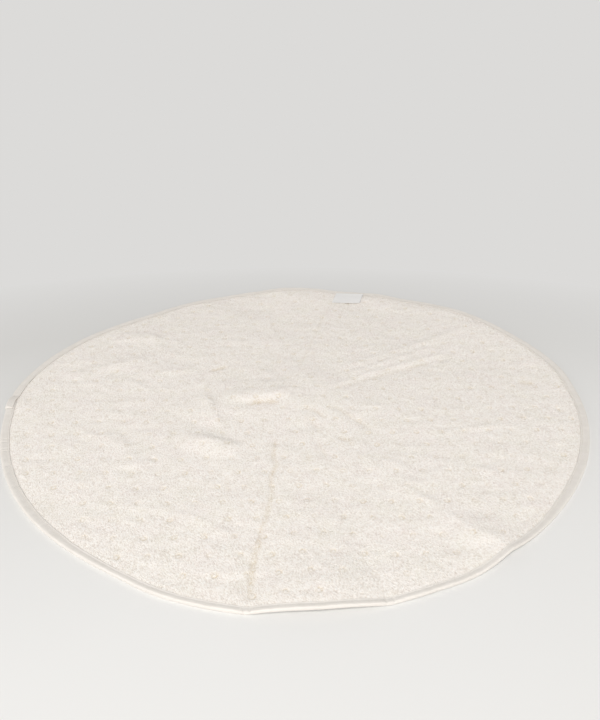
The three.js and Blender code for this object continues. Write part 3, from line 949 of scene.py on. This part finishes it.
@dataclass(frozen=True)
class Dots:
    """The small round dots woven into the terry, in staggered rows."""

    row_step: float = 24.6
    pitch: float = 28.0
    slant: float = -7.7
    rise: float = 0.015
    first_y: float = 180.5
    radius: float = 3.4
    groove: float = 0.8
    plateau: float = 0.2
    ring_at: float = 0.72
    ring_half: float = 0.3
    plate_in: float = 0.5
    plate_over: float = 0.7
    worn: Span = (0.4, 1.0)
    patchy: float = 0.3
    mesh_rings: tuple[tuple[float, int], ...] = (
        (0.0, 1), (0.36, 6), (0.62, 9), (0.86, 11), (1.12, 12), (1.42, 13),
    )

    def centres(self, shape: LyingShape, clear: float) -> Array:
        """Where the dots are.

        Args:
            shape: The lying shape.
            clear: Least distance inside the rim, mm.

        Returns:
            One row of x and y for each dot, mm.
        """
        reach = 2 * int(shape.radius / self.row_step)
        row, column = np.meshgrid(np.arange(-reach, reach + 1), np.arange(-reach, reach + 1))
        x = (row * self.slant + column * self.pitch).ravel()
        y = (self.first_y + row * self.row_step).ravel() + self.rise * x
        bend_x, bend_y = ripple(y, BEND_X), ripple(x, BEND_Y)
        moved = np.stack([x + bend_x, y + bend_y], 1)
        return moved[shape.inset(moved[:, 0], moved[:, 1]) > clear]

    def ring(self, distance: Array) -> Array:
        """How much of a dot's groove there is at a distance from its middle, 0 to 1."""
        away = (distance - self.ring_at * self.radius) / (self.ring_half * self.radius)
        return np.exp(-(away**2))

    def depth(self, distance: Array) -> Array:
        """How deep a dot is at a distance from its middle, mm."""
        out = (distance - self.plate_in * self.radius) / (self.plate_over * self.radius)
        return self.groove * self.ring(distance) + self.plateau * (1 - ease(out))

    def points(self, centre: Array) -> Array:
        """Mesh points that give one dot its shape.

        Args:
            centre: The dot's middle, mm.

        Returns:
            One row of x and y for each point, mm.
        """
        points = []
        for share, count in self.mesh_rings:
            turn = 2 * math.pi * (np.arange(count) + share) / count
            points.append(centre + share * self.radius * np.stack([np.cos(turn), np.sin(turn)], 1))
        return np.vstack(points)


@dataclass
class Cloth:
    """The terry disc: a fine top with its dots, a plain underside and its edge."""

    shape: LyingShape
    dots: Dots
    pitch: float = 3.2
    under_pitch: float = 7.5
    stations: int = 1080
    edge_inset: float = 2.2
    rings: tuple[float, ...] = (4.6, 6.8, 8.6, 10.4, 11.8, 13.4, 15.4, 17.8)
    under_rings: tuple[float, ...] = (8.0, 12.5, 18.0)
    reach: float = 1.06
    jitter: float = 0.12
    under_jitter: float = 0.2
    dot_clear: float = 17.0
    # How much painted shade the dots' grooves and the deep crease valleys get.
    dot_shade: float = 0.55
    valley_shade: float = 0.6
    valley_from: float = 0.1
    valley_over: float = 0.7
    valley_bare: float = 0.7
    raggedness: float = 0.35
    bare_in: float = 0.4
    bare_over: float = 0.8
    worn_pile: float = 0.4
    pile_edge: float = 0.6
    seed: int = 5
    centres: Array = field(init=False)

    def __post_init__(self) -> None:
        """Finds the dots."""
        self.centres = self.dots.centres(self.shape, self.dot_clear)

    def ring(self, inset: float, count: int) -> Array:
        """Evenly spaced points at one distance inside the rim.

        Args:
            inset: The distance, mm.
            count: How many points.

        Returns:
            One row of x and y for each point, mm.
        """
        angle = np.arange(count) * 360.0 / count
        radius = self.shape.rim_radius(angle) - inset
        turn = np.radians(angle)
        return np.stack([radius * np.cos(turn), radius * np.sin(turn)], 1)

    def scatter(self, pitch: float, clear: float, jitter: float) -> Array:
        """A staggered grid of points inside the rim.

        Args:
            pitch: Distance of the points, mm.
            clear: Least distance inside the rim, mm.
            jitter: How far a point may stray, mm.

        Returns:
            One row of x and y for each point, mm.
        """
        reach = self.shape.radius * self.reach
        ys = np.arange(-reach, reach, pitch * math.sqrt(3) / 2)
        xs = np.arange(-reach, reach, pitch)
        x, y = np.meshgrid(xs, ys)
        x = x + (np.arange(len(ys)) % 2)[:, None] * pitch / 2
        points = np.stack([x.ravel(), y.ravel()], 1)
        points += np.random.default_rng(self.seed).uniform(-jitter, jitter, points.shape)
        return points[self.shape.inset(points[:, 0], points[:, 1]) > clear]

    def to_dot(self, points: Array) -> tuple[Array, Array]:
        """Finds the dot nearest to each point.

        Args:
            points: One row of x and y for each point, mm.

        Returns:
            The distance from that dot's middle, mm, and how clear the dot is, 0 to 1.
        """
        nearest, clear = np.full(len(points), np.inf), np.zeros(len(points))
        order = np.argsort(points[:, 1])
        rows = points[order, 1]
        reach = self.dots.radius * 2
        patchy = self.dots.patchy
        worn = np.random.default_rng(self.seed).uniform(*self.dots.worn, len(self.centres))
        for centre, kept in zip(self.centres, worn, strict=True):
            lo, hi = np.searchsorted(rows, [centre[1] - reach, centre[1] + reach])
            some = order[lo:hi]
            dx, dy = points[some, 0] - centre[0], points[some, 1] - centre[1]
            away = np.hypot(dx, dy)
            near = away < nearest[some]
            some, dx, dy = some[near], dx[near], dy[near]
            nearest[some] = away[near]
            clear[some] = kept * (1 - patchy + patchy * np.sin(np.arctan2(dy, dx) + 9 * kept))
        return nearest, clear

    def triangulate(self, edge: Array, inner: Array) -> tuple[Array, Array]:
        """Joins the edge and the points inside it with triangles.

        Args:
            edge: The points of the edge, in order.
            inner: The points inside it.

        Returns:
            The points, the edge's first and in order, and the triangles.
        """
        count = len(edge)
        points = [Vector(p) for p in np.vstack([edge, inner])]
        loop = [(k, (k + 1) % count) for k in range(count)]
        found = delaunay_2d_cdt(points, loop, [], 1, 1e-6, True)
        places, faces, origins = found[0], found[2], found[3]
        number = np.array([o[0] if o else -1 for o in origins])
        order = np.argsort(np.where(number < 0, len(points), number), kind="stable")
        rank = np.empty(len(order), int)
        rank[order] = np.arange(len(order))
        return np.array([places[k] for k in order]), rank[np.array(faces, int)]

    def build(self) -> Piece:
        """Builds the cloth's mesh.

        Returns:
            The cloth, with the attributes pile and shade.
        """
        edge = self.ring(self.edge_inset, self.stations)
        rings = [self.ring(inset, self.stations) for inset in self.rings]
        jitter = self.pitch * self.jitter
        grid = self.scatter(self.pitch, self.rings[-1] + self.pitch * 0.7, jitter)
        dot_reach = self.dots.radius * self.dots.mesh_rings[-1][0]
        grid = grid[self.to_dot(grid)[0] > dot_reach + self.pitch * 0.5]
        dots = [self.dots.points(centre) for centre in self.centres]
        top_points, top_faces = self.triangulate(edge, np.vstack([*rings, grid, *dots]))
        under_rings = [self.ring(inset, self.stations // 2) for inset in self.under_rings]
        coarse = self.scatter(self.under_pitch, self.under_rings[-1] + 5, self.under_jitter)
        low_points, low_faces = self.triangulate(edge, np.vstack([*under_rings, coarse]))
        _, top = self.shape.surfaces(top_points[:, 0], top_points[:, 1])
        under, _ = self.shape.surfaces(low_points[:, 0], low_points[:, 1])
        distance, clear = self.to_dot(top_points)
        sunk = np.where(np.isfinite(distance), self.dots.depth(distance), 0.0)
        top = top - sunk * clear
        points = np.vstack(
            [np.column_stack([top_points, top]), np.column_stack([low_points, under])]
        )
        count, edge_count = len(top_points), len(edge)
        ahead = np.roll(np.arange(edge_count), -1)
        here = np.arange(edge_count)
        wall = np.column_stack([here, count + here, count + ahead, ahead])
        low = low_faces[:, ::-1] + count
        faces = [*top_faces.tolist(), *low.tolist(), *wall.tolist()]
        piece = smooth_object("terry_cloth", placed(points), faces)
        none = np.zeros(len(under))
        self.mark_pile(piece, points, np.append(distance, none), np.append(clear, none))
        return piece

    def mark_pile(
        self, piece: Piece, points: Array, distance: Array, clear: Array
    ) -> None:
        """Writes the attributes: pile, where loops may stand, and shade, how dark it is: painted
        shade in the dots' grooves and along deep crease valleys.

        Args:
            piece: The cloth.
            points: Its points, mm.
            distance: Their distance from the nearest dot, and 0 on the underside.
            clear: How clear that dot is.
        """
        x, y = points[:, 0], points[:, 1]
        depth = -self.shape.creased(x, y) / self.shape.deep_crease
        ragged = uneven(x, y, RAGGED_VALLEY, self.seed)
        least = 1 - self.raggedness
        valley = ease((depth - self.valley_from) / self.valley_over) * (least + self.raggedness * ragged)
        band = self.shape.band_width * self.shape.band_share(np.degrees(np.arctan2(y, x)))
        bare, over = self.bare_in * self.dots.radius, self.bare_over * self.dots.radius
        share = ease((distance - bare) / over)
        share = np.maximum(share, self.worn_pile * (1 - clear) * (distance > 0))
        share = share * ease(self.shape.inset(x, y) - band + self.pile_edge)
        share = share * (1 - self.valley_bare * valley)
        # Painted shade: darker in each dot's ring groove and along deep crease valleys, with ragged
        # edges.
        shade = self.dot_shade * clear * self.dots.ring(distance)
        shade = np.nan_to_num(np.maximum(shade, self.valley_shade * valley))
        write_values(piece.data, "pile", share)
        write_values(piece.data, "shade", shade)

    def dress(self, piece: Piece, material: Material, pile: Sequence[Piece]) -> None:
        """Args:
            piece: The cloth.
            material: The terry's material.
            pile: The pieces that hold its loops; not used.
        """
        attach(piece, material)
        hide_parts("cloth")


@dataclass
class Binding:
    """The strip folded round the edge, its last end folded over its first."""

    shape: LyingShape
    finish: WeaveFinish
    stations: int = 2200
    seam_inset: float = 8.2
    flat_width: float = 24.0
    flat_length: float = 2200.0
    lip_from: float = 6.0
    lip_over: float = 4.0
    roll_rise: float = 0.24
    roll_inset: float = 2.4
    seam_rise: float = 1.26
    seam_sink: float = 0.6
    under_seam: float = 0.8

    def profile(self) -> Array:
        """The whole closed section: the upper flap, and the lower one pressed flat.

        Returns:
            Rows of inset and height over the strip's underside, mm.
        """
        upper = np.array(SECTION)
        half = self.shape.band_height / 2
        lower = upper[1:][::-1] * [1.0, -1.0]
        lower[:, 1] = np.maximum(lower[:, 1], -half)
        return np.vstack([upper, lower]) + [0.0, half]

    def angles(self) -> Array:
        """Angles of the cross sections, from the first end round to the lapped end."""
        lap = self.shape.lap_end - self.shape.lap_start
        return self.shape.lap_start + np.linspace(0.0, 360.0 + lap, self.stations)

    def pleated(self, angle: Array) -> Array:
        """How far pleats and puckers sink the strip.

        Args:
            angle: Angles in degrees.

        Returns:
            The depth at each angle, mm.
        """
        at = np.mod(angle, 360.0)
        sunk = sum(p.depth * np.exp(-(((at - p.angle) / p.half) ** 2)) for p in PLEATS)
        return sunk + ripple(np.radians(at) * self.shape.radius, STRIP_SINKS)

    def build(self) -> Piece:
        """Builds the strip's mesh.

        Returns:
            The binding, with a UV map along and across its cloth.
        """
        shape = self.shape
        profile = self.profile()
        angle = self.angles()
        share = shape.lap_share(angle)
        outer = angle > 360 + shape.lap_start - shape.lap_ease - shape.gap
        grow = np.where(outer, share * shape.rim_under, 0.0)
        raised = np.where(outer | (angle > 360), 0.0, share * shape.rim_under)
        half = shape.band_height / 2
        rim = shape.rim_radius(angle)
        wander = ripple(np.radians(angle) * shape.radius, STRIP_WANDERS)
        inset, height = profile[:, 0], profile[:, 1]
        thick = 1 + grow / half
        upper = np.clip((height - half) / half, 0.0, 1.0)
        z = half + grow[:, None] + (height[None, :] - half) * thick[:, None]
        z = z - self.pleated(angle)[:, None] * upper[None, :]
        lip = ease((inset - self.lip_from) / self.lip_over)
        width = shape.band_share(angle)[:, None]
        past_nose = np.maximum(inset - self.roll_inset, 0)[None, :]
        z = z + self.roll_rise * (1 - width) * past_nose * upper[None, :]
        radius = rim[:, None] + grow[:, None] - inset[None, :] * width - wander[:, None] * lip
        turn = np.radians(angle)[:, None]
        lift = shape.rim_lift(angle) + raised
        points = np.stack(
            [radius * np.cos(turn), radius * np.sin(turn), lift[:, None] + z], -1
        )
        return self.strip_piece(points, profile, angle)

    def strip_piece(self, points: Array, profile: Array, angle: Array) -> Piece:
        """Skins the cross sections.

        Args:
            points: The points by station and by place in the section, mm.
            profile: The section.
            angle: The stations' angles.

        Returns:
            The binding.
        """
        stations, sides = points.shape[:2]
        here = np.arange(stations - 1)[:, None] * sides
        side = np.arange(sides)[None, :]
        after = (side + 1) % sides
        quads = np.stack(
            [here + side, here + after, here + sides + after, here + sides + side], -1
        ).reshape(-1, 4)
        first = list(range(sides))[::-1]
        last = [(stations - 1) * sides + k for k in range(sides)]
        faces = [*quads.tolist(), first, last]
        piece = smooth_object("edge_binding", placed(points.reshape(-1, 3)), faces)
        steps = np.hypot(*np.diff(np.vstack([profile, profile[:1]]), axis=0).T)
        across = np.concatenate([[0.0], np.cumsum(steps)]) * MM
        along = np.radians(angle - angle[0]) * self.shape.radius * MM
        corner_along = np.stack([along[:-1], along[:-1], along[1:], along[1:]], -1)
        corner_across = np.stack([across[:-1], across[1:], across[1:], across[:-1]], -1)
        u = np.repeat(corner_along[:, None, :], sides, 1)
        v = np.repeat(corner_across[None, :, :], stations - 1, 0)
        ends = np.tile(np.column_stack([np.zeros(sides), across[:-1]]), (2, 1))
        write_weave(piece, np.vstack([np.stack([u, v], -1).reshape(-1, 2), ends]))
        return piece

    def seam_lines(self) -> list[Array]:
        """The lines that the stitches follow, on the upper and on the lower flap.

        Returns:
            Two lines, with one row of x, y and z for each point, mm.
        """
        shape = self.shape
        angle = self.angles()[:-1]
        angle = angle[angle < 360 + shape.lap_start]
        turn = np.radians(angle)
        radius = shape.rim_radius(angle) - self.seam_inset * shape.band_share(angle)
        raised = shape.lap_share(angle) * shape.rim_under * 2
        lift = shape.rim_lift(angle)
        sunk = self.pleated(angle) * self.seam_sink
        top = lift + raised + shape.band_height / 2 + self.seam_rise - sunk
        low = lift + self.under_seam
        return [
            np.column_stack([radius * np.cos(turn), radius * np.sin(turn), z])
            for z in (top, low)
        ]

    def dress(self, piece: Piece, stitches: Piece) -> None:
        """Args:
            piece: The binding.
            stitches: The stitches in it; not used.
        """
        attach(piece, self.finish.material())
        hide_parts("binding")


@dataclass
class Label:
    """The small bare ribbon at the far edge, its near edge curling up."""

    shape: LyingShape
    finish: WeaveFinish
    x: float = 83.5
    y: float = 296.0
    width: float = 45.0
    depth: float = 35.0
    turn: float = -7.0
    slant: float = 0.13
    clear: float = 0.8
    curl: float = 1.0
    curl_left: float = 0.4
    thickness: float = 0.55
    landing: float = 3.0
    across: int = 49
    along: int = 41
    feel: float = 3.0
    bead: float = 0.18
    bead_inset: float = 1.2
    edge_width: float = 0.9
    pinched: float = 0.3
    seam_inset: float = 2.6
    seam_short: float = 4.0
    seam_points: int = 60

    def ground(self, x: Array, y: Array) -> Array:
        """Top of the cloth or of the binding under the label.

        Args:
            x, y: Places across and away from the viewer, mm.

        Returns:
            The height at each place, mm.
        """
        shape = self.shape
        angle = np.degrees(np.arctan2(y, x))
        band = shape.rim_lift(angle) + shape.band_height
        _, cloth = shape.surfaces(x, y)
        near = shape.inset(x, y) < shape.band_width + self.landing
        return np.where(near, np.maximum(cloth, band), cloth)

    def place(self, u: Array, v: Array) -> tuple[Array, Array, Array]:
        """Where a point of the ribbon lies.

        Args:
            u: Distance along its width from the middle, mm.
            v: Distance along its depth from the middle, mm.

        Returns:
            x, y and the height of its underside, mm.
        """
        cos, sin = direction(self.turn)
        x = self.x + u * cos - v * sin + self.slant * v
        y = self.y + u * sin + v * cos
        ground = np.zeros_like(x)
        offsets = [(a * self.feel, b * self.feel) for a in (-1, 0, 1) for b in (-1, 0, 1)]
        for dx, dy in offsets:
            ground = ground + self.ground(x + dx, y + dy) / len(offsets)
        near = (0.5 - v / self.depth) ** 2
        right = mix(self.curl_left, 1.0, u / self.width + 0.5)
        return x, y, ground + self.clear + self.curl * near * right

    def build(self) -> Piece:
        """Builds the ribbon's mesh, with rounded edges.

        Returns:
            The label, with a UV map along its cloth.
        """
        u = np.linspace(-0.5, 0.5, self.across + 1) * self.width
        v = np.linspace(-0.5, 0.5, self.along + 1) * self.depth
        gu, gv = np.meshgrid(u, v)
        x, y, under = self.place(gu, gv)
        x, y, under = x.ravel(), y.ravel(), under.ravel()
        hem = np.minimum(
            self.width / 2 - np.abs(gu.ravel()), self.depth / 2 - np.abs(gv.ravel())
        )
        bead = self.bead * np.exp(-(((hem - self.bead_inset) / self.edge_width) ** 2))
        pinch = self.thickness * self.pinched * (1 - ease(hem / self.edge_width))
        top = under + self.thickness + bead - pinch
        low = under + pinch
        points = np.vstack([np.column_stack([x, y, top]), np.column_stack([x, y, low])])
        count = len(x)
        row = self.across + 1
        i, j = np.meshgrid(np.arange(self.across), np.arange(self.along))
        a = (j * row + i).ravel()
        upper = np.column_stack([a, a + 1, a + row + 1, a + row])
        lower = upper[:, ::-1] + count
        loop = [
            *range(self.across),
            *[self.across + row * k for k in range(self.along)],
            *[row * self.along + self.across - k for k in range(self.across)],
            *[row * (self.along - k) for k in range(self.along)],
        ]
        ahead = [*loop[1:], loop[0]]
        wall = [(p, p + count, q + count, q) for p, q in zip(loop, ahead, strict=True)]
        faces = [*upper.tolist(), *lower.tolist(), *wall]
        piece = smooth_object("label_ribbon", placed(points), faces)
        flat = np.column_stack([np.tile(gu.ravel(), 2), np.tile(gv.ravel(), 2)]) * MM
        corners = np.empty(len(piece.data.loops), np.int32)
        piece.data.loops.foreach_get("vertex_index", corners)
        write_weave(piece, flat[corners])
        return piece

    def seam_lines(self) -> list[Array]:
        """The line of stitches along the far edge.

        Returns:
            One line, with one row of x, y and z for each point, mm.
        """
        u = np.linspace(-0.5, 0.5, self.seam_points) * (self.width - self.seam_short)
        v = np.full_like(u, self.depth / 2 - self.seam_inset)
        x, y, under = self.place(u, v)
        return [np.column_stack([x, y, under + self.thickness + 0.05])]

    def dress(self, piece: Piece, stitches: Piece) -> None:
        """Args:
            piece: The label.
            stitches: The stitches in it; not used.
        """
        attach(piece, self.finish.material())
        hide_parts("label")


# The socket's type for a value of an input of a Geometry Nodes tree.
SOCKET_KINDS = (
    (float, "NodeSocketFloat"),
    (int, "NodeSocketInt"),
    (Material, "NodeSocketMaterial"),
)


class NodeMaker:
    """Runs a Geometry Nodes tree over a base mesh and keeps its result as plain mesh."""

    def __init__(self, name: str, values: Mapping[str, Any]) -> None:
        """Starts a tree.

        Args:
            name: The tree's name.
            values: Its inputs' names, each with its value.
        """
        self.group = bpy.data.node_groups.new(name, "GeometryNodeTree")
        self.tree = Tree(self.group)
        self.values = dict(values)
        face = self.group.interface
        face.new_socket("Geometry", in_out="INPUT", socket_type="NodeSocketGeometry")
        for title, value in values.items():
            kind = next(kind for plain, kind in SOCKET_KINDS if isinstance(value, plain))
            face.new_socket(title, in_out="INPUT", socket_type=kind)
        face.new_socket("Geometry", in_out="OUTPUT", socket_type="NodeSocketGeometry")
        self.inputs = self.tree.add("NodeGroupInput").outputs

    def close(
        self, points: Socket, facets: tuple[int, int], size: Sequence[str], **placing: Socket
    ) -> None:
        """Stands a bead on each point and ends the tree: real meshes, in their material.

        Args:
            points: The points.
            facets: How many segments and rings a bead has.
            size: The inputs that give its length, width and height.
            placing: The bead's Rotation, and its Scale, on each point.
        """
        add = self.tree.add
        ball = {"Segments": facets[0], "Rings": facets[1], "Radius": 0.5}
        bead = add("GeometryNodeMeshUVSphere", ball).outputs[0]
        sides = {k: self.inputs[name] for k, name in enumerate(size)}
        scale = add("ShaderNodeCombineXYZ", sides).outputs[0]
        shaped = add("GeometryNodeTransform", {0: bead, "Scale": scale}).outputs[0]
        stood = {"Points": points, "Instance": shaped, **placing}
        instances = add("GeometryNodeInstanceOnPoints", stood).outputs[0]
        real = add("GeometryNodeRealizeInstances", {0: instances}).outputs[0]
        smooth = add("GeometryNodeSetShadeSmooth", {0: real}).outputs[0]
        painting = {0: smooth, "Material": self.inputs["Material"]}
        painted = add("GeometryNodeSetMaterial", painting).outputs[0]
        add("NodeGroupOutput", {0: painted})

    def run(self, name: str, base: bpy.types.Mesh, **changed: Any) -> Piece:
        """Runs the tree on a mesh.

        Args:
            name: The new piece's name.
            base: The mesh that it starts from.
            changed: Inputs that differ from the tree's own values.

        Returns:
            A new object with the result as a plain mesh.
        """
        carrier = add_object(name + "_base", base)
        modifier = carrier.modifiers.new("nodes", "NODES")
        modifier.node_group = self.group
        for item in self.group.interface.items_tree:
            if item.in_out == "INPUT" and item.name in self.values:
                modifier[item.identifier] = changed.get(item.name, self.values[item.name])
        evaluated = carrier.evaluated_get(bpy.context.evaluated_depsgraph_get())
        mesh = bpy.data.meshes.new_from_object(evaluated)
        bpy.data.objects.remove(carrier)
        mesh.name = name
        return add_object(name, mesh)


@dataclass
class Seam:
    """Rows of machine stitches along given lines."""

    finish: ThreadFinish
    pitch: float = 3.0
    length: float = 2.2
    thread: float = 0.55

    def maker(self, material: Material) -> NodeMaker:
        """The tree that lays one stitch after another along a line.

        Args:
            material: The thread's material.

        Returns:
            The maker, ready to run.
        """
        sizes = {"Pitch": self.pitch, "Stitch length": self.length, "Thread": self.thread}
        values = {name: size * MM for name, size in sizes.items()}
        maker = NodeMaker("stitch row", {**values, "Material": material})
        tree, given = maker.tree, maker.inputs
        line = tree.add("GeometryNodeMeshToCurve", {0: given["Geometry"]}).outputs[0]
        spacing = {"Curve": line, "Length": given["Pitch"]}
        steps = tree.add("GeometryNodeResampleCurve", spacing, mode="LENGTH").outputs[0]
        tangent = {"Vector": tree.add("GeometryNodeInputTangent").outputs[0]}
        aim = tree.add("FunctionNodeAlignRotationToVector", tangent, axis="X").outputs[0]
        maker.close(steps, (6, 4), ("Stitch length", "Thread", "Thread"), Rotation=aim)
        return maker

    def build(self, name: str, lines: Sequence[Array]) -> Piece:
        """Sews along lines.

        Args:
            name: The new piece's name.
            lines: The lines, mm, in the frame of the tables.

        Returns:
            The stitches.
        """
        points = np.vstack(lines)
        mesh = bpy.data.meshes.new(name + "_line")
        start, edges = 0, []
        for line in lines:
            edges += [(start + k, start + k + 1) for k in range(len(line) - 1)]
            start += len(line)
        mesh.from_pydata(placed(points).tolist(), edges, [])
        piece = self.maker(self.finish.material()).run(name, mesh)
        attach(piece)
        return piece


@dataclass
class Pile:
    """Loops of terry standing on the cloth, left out round the woven dots."""

    cloth: Piece
    loops_per_metre2: float = 150000.0
    length: float = 1.8
    width: float = 0.95
    height: float = 1.0
    lean: float = 0.25
    growth: Span = (0.65, 1.25)
    bands: int = 3
    seed: int = 11

    def maker(self, material: Material) -> NodeMaker:
        """The tree that scatters loops over a band of the cloth.

        Args:
            material: The terry's material.

        Returns:
            The maker, ready to run.
        """
        sizes = {"Length": self.length, "Width": self.width, "Height": self.height}
        values = {name: size * MM for name, size in sizes.items()}
        many = {"Loops per square metre": self.loops_per_metre2}
        maker = NodeMaker("terry pile", {**many, **values, "Seed": self.seed, "Material": material})
        tree, given = maker.tree, maker.inputs
        seed = {"Seed": given["Seed"]}
        share = tree.add("GeometryNodeInputNamedAttribute", {"Name": "pile"}).outputs[0]
        density = tree.math("MULTIPLY", given["Loops per square metre"], share)
        strewn = {"Mesh": given["Geometry"], "Density": density, **seed}
        points = tree.add("GeometryNodeDistributePointsOnFaces", strewn).outputs
        least, most = (-self.lean, -self.lean, 0.0), (self.lean, self.lean, 6.283)
        spins = {0: least, 1: most, **seed}
        spin = tree.add("FunctionNodeRandomValue", spins, data_type="FLOAT_VECTOR").outputs[0]
        turns = {"Rotation": points["Rotation"], "Rotate By": spin}
        turn = tree.add("FunctionNodeRotateRotation", turns, rotation_space="LOCAL").outputs[0]
        grows = {2: self.growth[0], 3: self.growth[1], **seed}
        grow = tree.add("FunctionNodeRandomValue", grows, data_type="FLOAT").outputs[1]
        maker.close(points["Points"], (4, 2), tuple(sizes), Rotation=turn, Scale=grow)
        return maker

    def band(self, number: int) -> bpy.types.Mesh:
        """A copy of one band of the cloth's top, for one piece of pile.

        Args:
            number: Which band, from the near one to the far one.

        Returns:
            Its mesh, with the pile attribute.
        """
        source = self.cloth.data
        places = np.empty(len(source.vertices) * 3, np.float32)
        source.vertices.foreach_get("co", places)
        places = places.reshape(-1, 3)
        share = np.empty(len(source.vertices), np.float32)
        source.attributes["pile"].data.foreach_get("value", share)
        faces = [f.vertices[:] for f in source.polygons if len(f.vertices) == 3 and f.normal.z > 0]
        corners = np.array(faces)
        middle = places[corners, 1].mean(1)
        edges = np.quantile(middle, np.linspace(0, 1, self.bands + 1))
        edges[-1] += 1
        chosen = corners[(middle >= edges[number]) & (middle < edges[number + 1])]
        used, renumbered = np.unique(chosen, return_inverse=True)
        mesh = bpy.data.meshes.new(f"band_{number}")
        mesh.from_pydata(places[used].tolist(), [], renumbered.reshape(chosen.shape).tolist())
        write_values(mesh, "pile", share[used])
        return mesh

    def build(self, material: Material) -> list[Piece]:
        """Grows the pile.

        Args:
            material: The terry's material.

        Returns:
            One piece for each band of the cloth.
        """
        maker = self.maker(material)
        pieces = []
        for number in range(self.bands):
            name, seed = f"terry_pile_{number + 1}", self.seed + number
            piece = maker.run(name, self.band(number), Seed=seed)
            attach(piece)
            pieces.append(piece)
        return pieces


class Lamp(NamedTuple):
    """A square studio lamp: where it stands, what it is aimed at, its side and power."""

    name: str
    place: tuple[float, float, float]
    aim: tuple[float, float, float]
    side: float
    power: float
    colour: Colour


@dataclass(frozen=True)
class Studio:
    """Camera, soft lamps and the pale table top that curves up far away."""

    camera_place: tuple[float, float, float] = (0.005036, -0.752821, 0.456023)
    camera_tilt: float = 61.9857
    lens: float = 35.0
    floor_reach: float = 3.4
    floor_curve: float = 1.6
    wall: float = 2.6
    floor_drop: float = 0.0003
    sky: Colour = (0.985, 0.99, 1.0)
    sky_power: float = 0.14
    lamps: tuple[Lamp, ...] = (
        Lamp("key", (-0.45, -2.6, 2.75), (0, 0, 0), 1.3, 113, (1.0, 0.99, 0.975)),
    )

    def camera(self) -> None:
        """Sets up the camera at the photograph's angle."""
        data = bpy.data.cameras.new("camera")
        data.lens, data.sensor_width = self.lens, 36.0
        eye = add_object("camera", data)
        eye.location = self.camera_place
        eye.rotation_euler = (math.radians(self.camera_tilt), 0.0, 0.0)
        bpy.context.scene.camera = eye

    def floor(self) -> None:
        """Makes the table top, a wide disc whose far edge curves up."""
        bend = np.radians(np.linspace(0, 90, 13))
        radii = [0.8, 1.6, 2.6, *(self.floor_reach + self.floor_curve * np.sin(bend))]
        rises = [0.0, 0.0, 0.0, *(self.floor_curve * (1 - np.cos(bend)))]
        radii.append(radii[-1])
        rises.append(self.floor_curve + self.wall)
        count = 96
        turn = 2 * math.pi * np.arange(count) / count
        rows = [
            np.column_stack([r * np.cos(turn), r * np.sin(turn), np.full(count, z)])
            for r, z in zip(radii, rises, strict=True)
        ]
        points = np.vstack([*rows, [[0.0, 0.0, 0.0]]]) - [0.0, 0.0, self.floor_drop]
        faces: list[tuple[int, ...]] = []
        for k in range(len(rows) - 1):
            for s in range(count):
                t = (s + 1) % count
                a, b = k * count, (k + 1) * count
                faces.append((a + s, b + s, b + t, a + t))
        middle = len(points) - 1
        faces += [(middle, s, (s + 1) % count) for s in range(count)]
        top = smooth_object("table_top", points, faces)
        top.data.materials.append(TableFinish().material())

    def lights(self) -> None:
        """Sets up the lamps and the even light of the room."""
        for lamp in self.lamps:
            data = bpy.data.lights.new(lamp.name, "AREA")
            data.shape, data.size = "SQUARE", lamp.side
            data.energy, data.color = lamp.power, lamp.colour
            light = add_object(lamp.name, data)
            light.location = lamp.place
            aim = Vector(lamp.aim) - Vector(lamp.place)
            light.rotation_euler = aim.to_track_quat("-Z", "Y").to_euler()
        world = bpy.data.worlds.new("room")
        world.use_nodes = True
        background = world.node_tree.nodes["Background"]
        background.inputs["Color"].default_value = (*self.sky, 1)
        background.inputs["Strength"].default_value = self.sky_power
        bpy.context.scene.world = world

    def build(self) -> None:
        """Sets up the whole studio."""
        self.camera()
        self.floor()
        self.lights()
        bpy.context.scene.view_settings.view_transform = "Standard"


def main() -> None:
    """Builds the towel in order and reports each piece."""
    logging.basicConfig(level=logging.INFO, format="%(name)s %(message)s")
    Studio().build()
    shape = LyingShape()
    cotton = WeaveFinish("binding cotton", (0.82, 0.78, 0.735), (0.755, 0.715, 0.66), 1500, 0.00025)
    ribbon = WeaveFinish(
        "label ribbon", (0.89, 0.88, 0.87), (0.84, 0.825, 0.81), 2600, 0.00012, roughness=0.55
    )
    cloth = Cloth(shape, Dots())
    towel = cloth.build()
    terry = TerryFinish().material()
    cloth.dress(towel, terry, Pile(towel).build(terry))

    seam = Seam(ThreadFinish())
    binding = Binding(shape, cotton)
    strip = binding.build()
    binding.dress(strip, seam.build("binding_stitches", binding.seam_lines()))

    label = Label(shape, ribbon)
    tag = label.build()
    tacks = Seam(ThreadFinish((0.8, 0.8, 0.8), (0.6, 0.6, 0.6)), pitch=2.6, length=1.9, thread=0.4)
    label.dress(tag, tacks.build("label_stitches", label.seam_lines()))


if __name__ == "__main__":
    main()
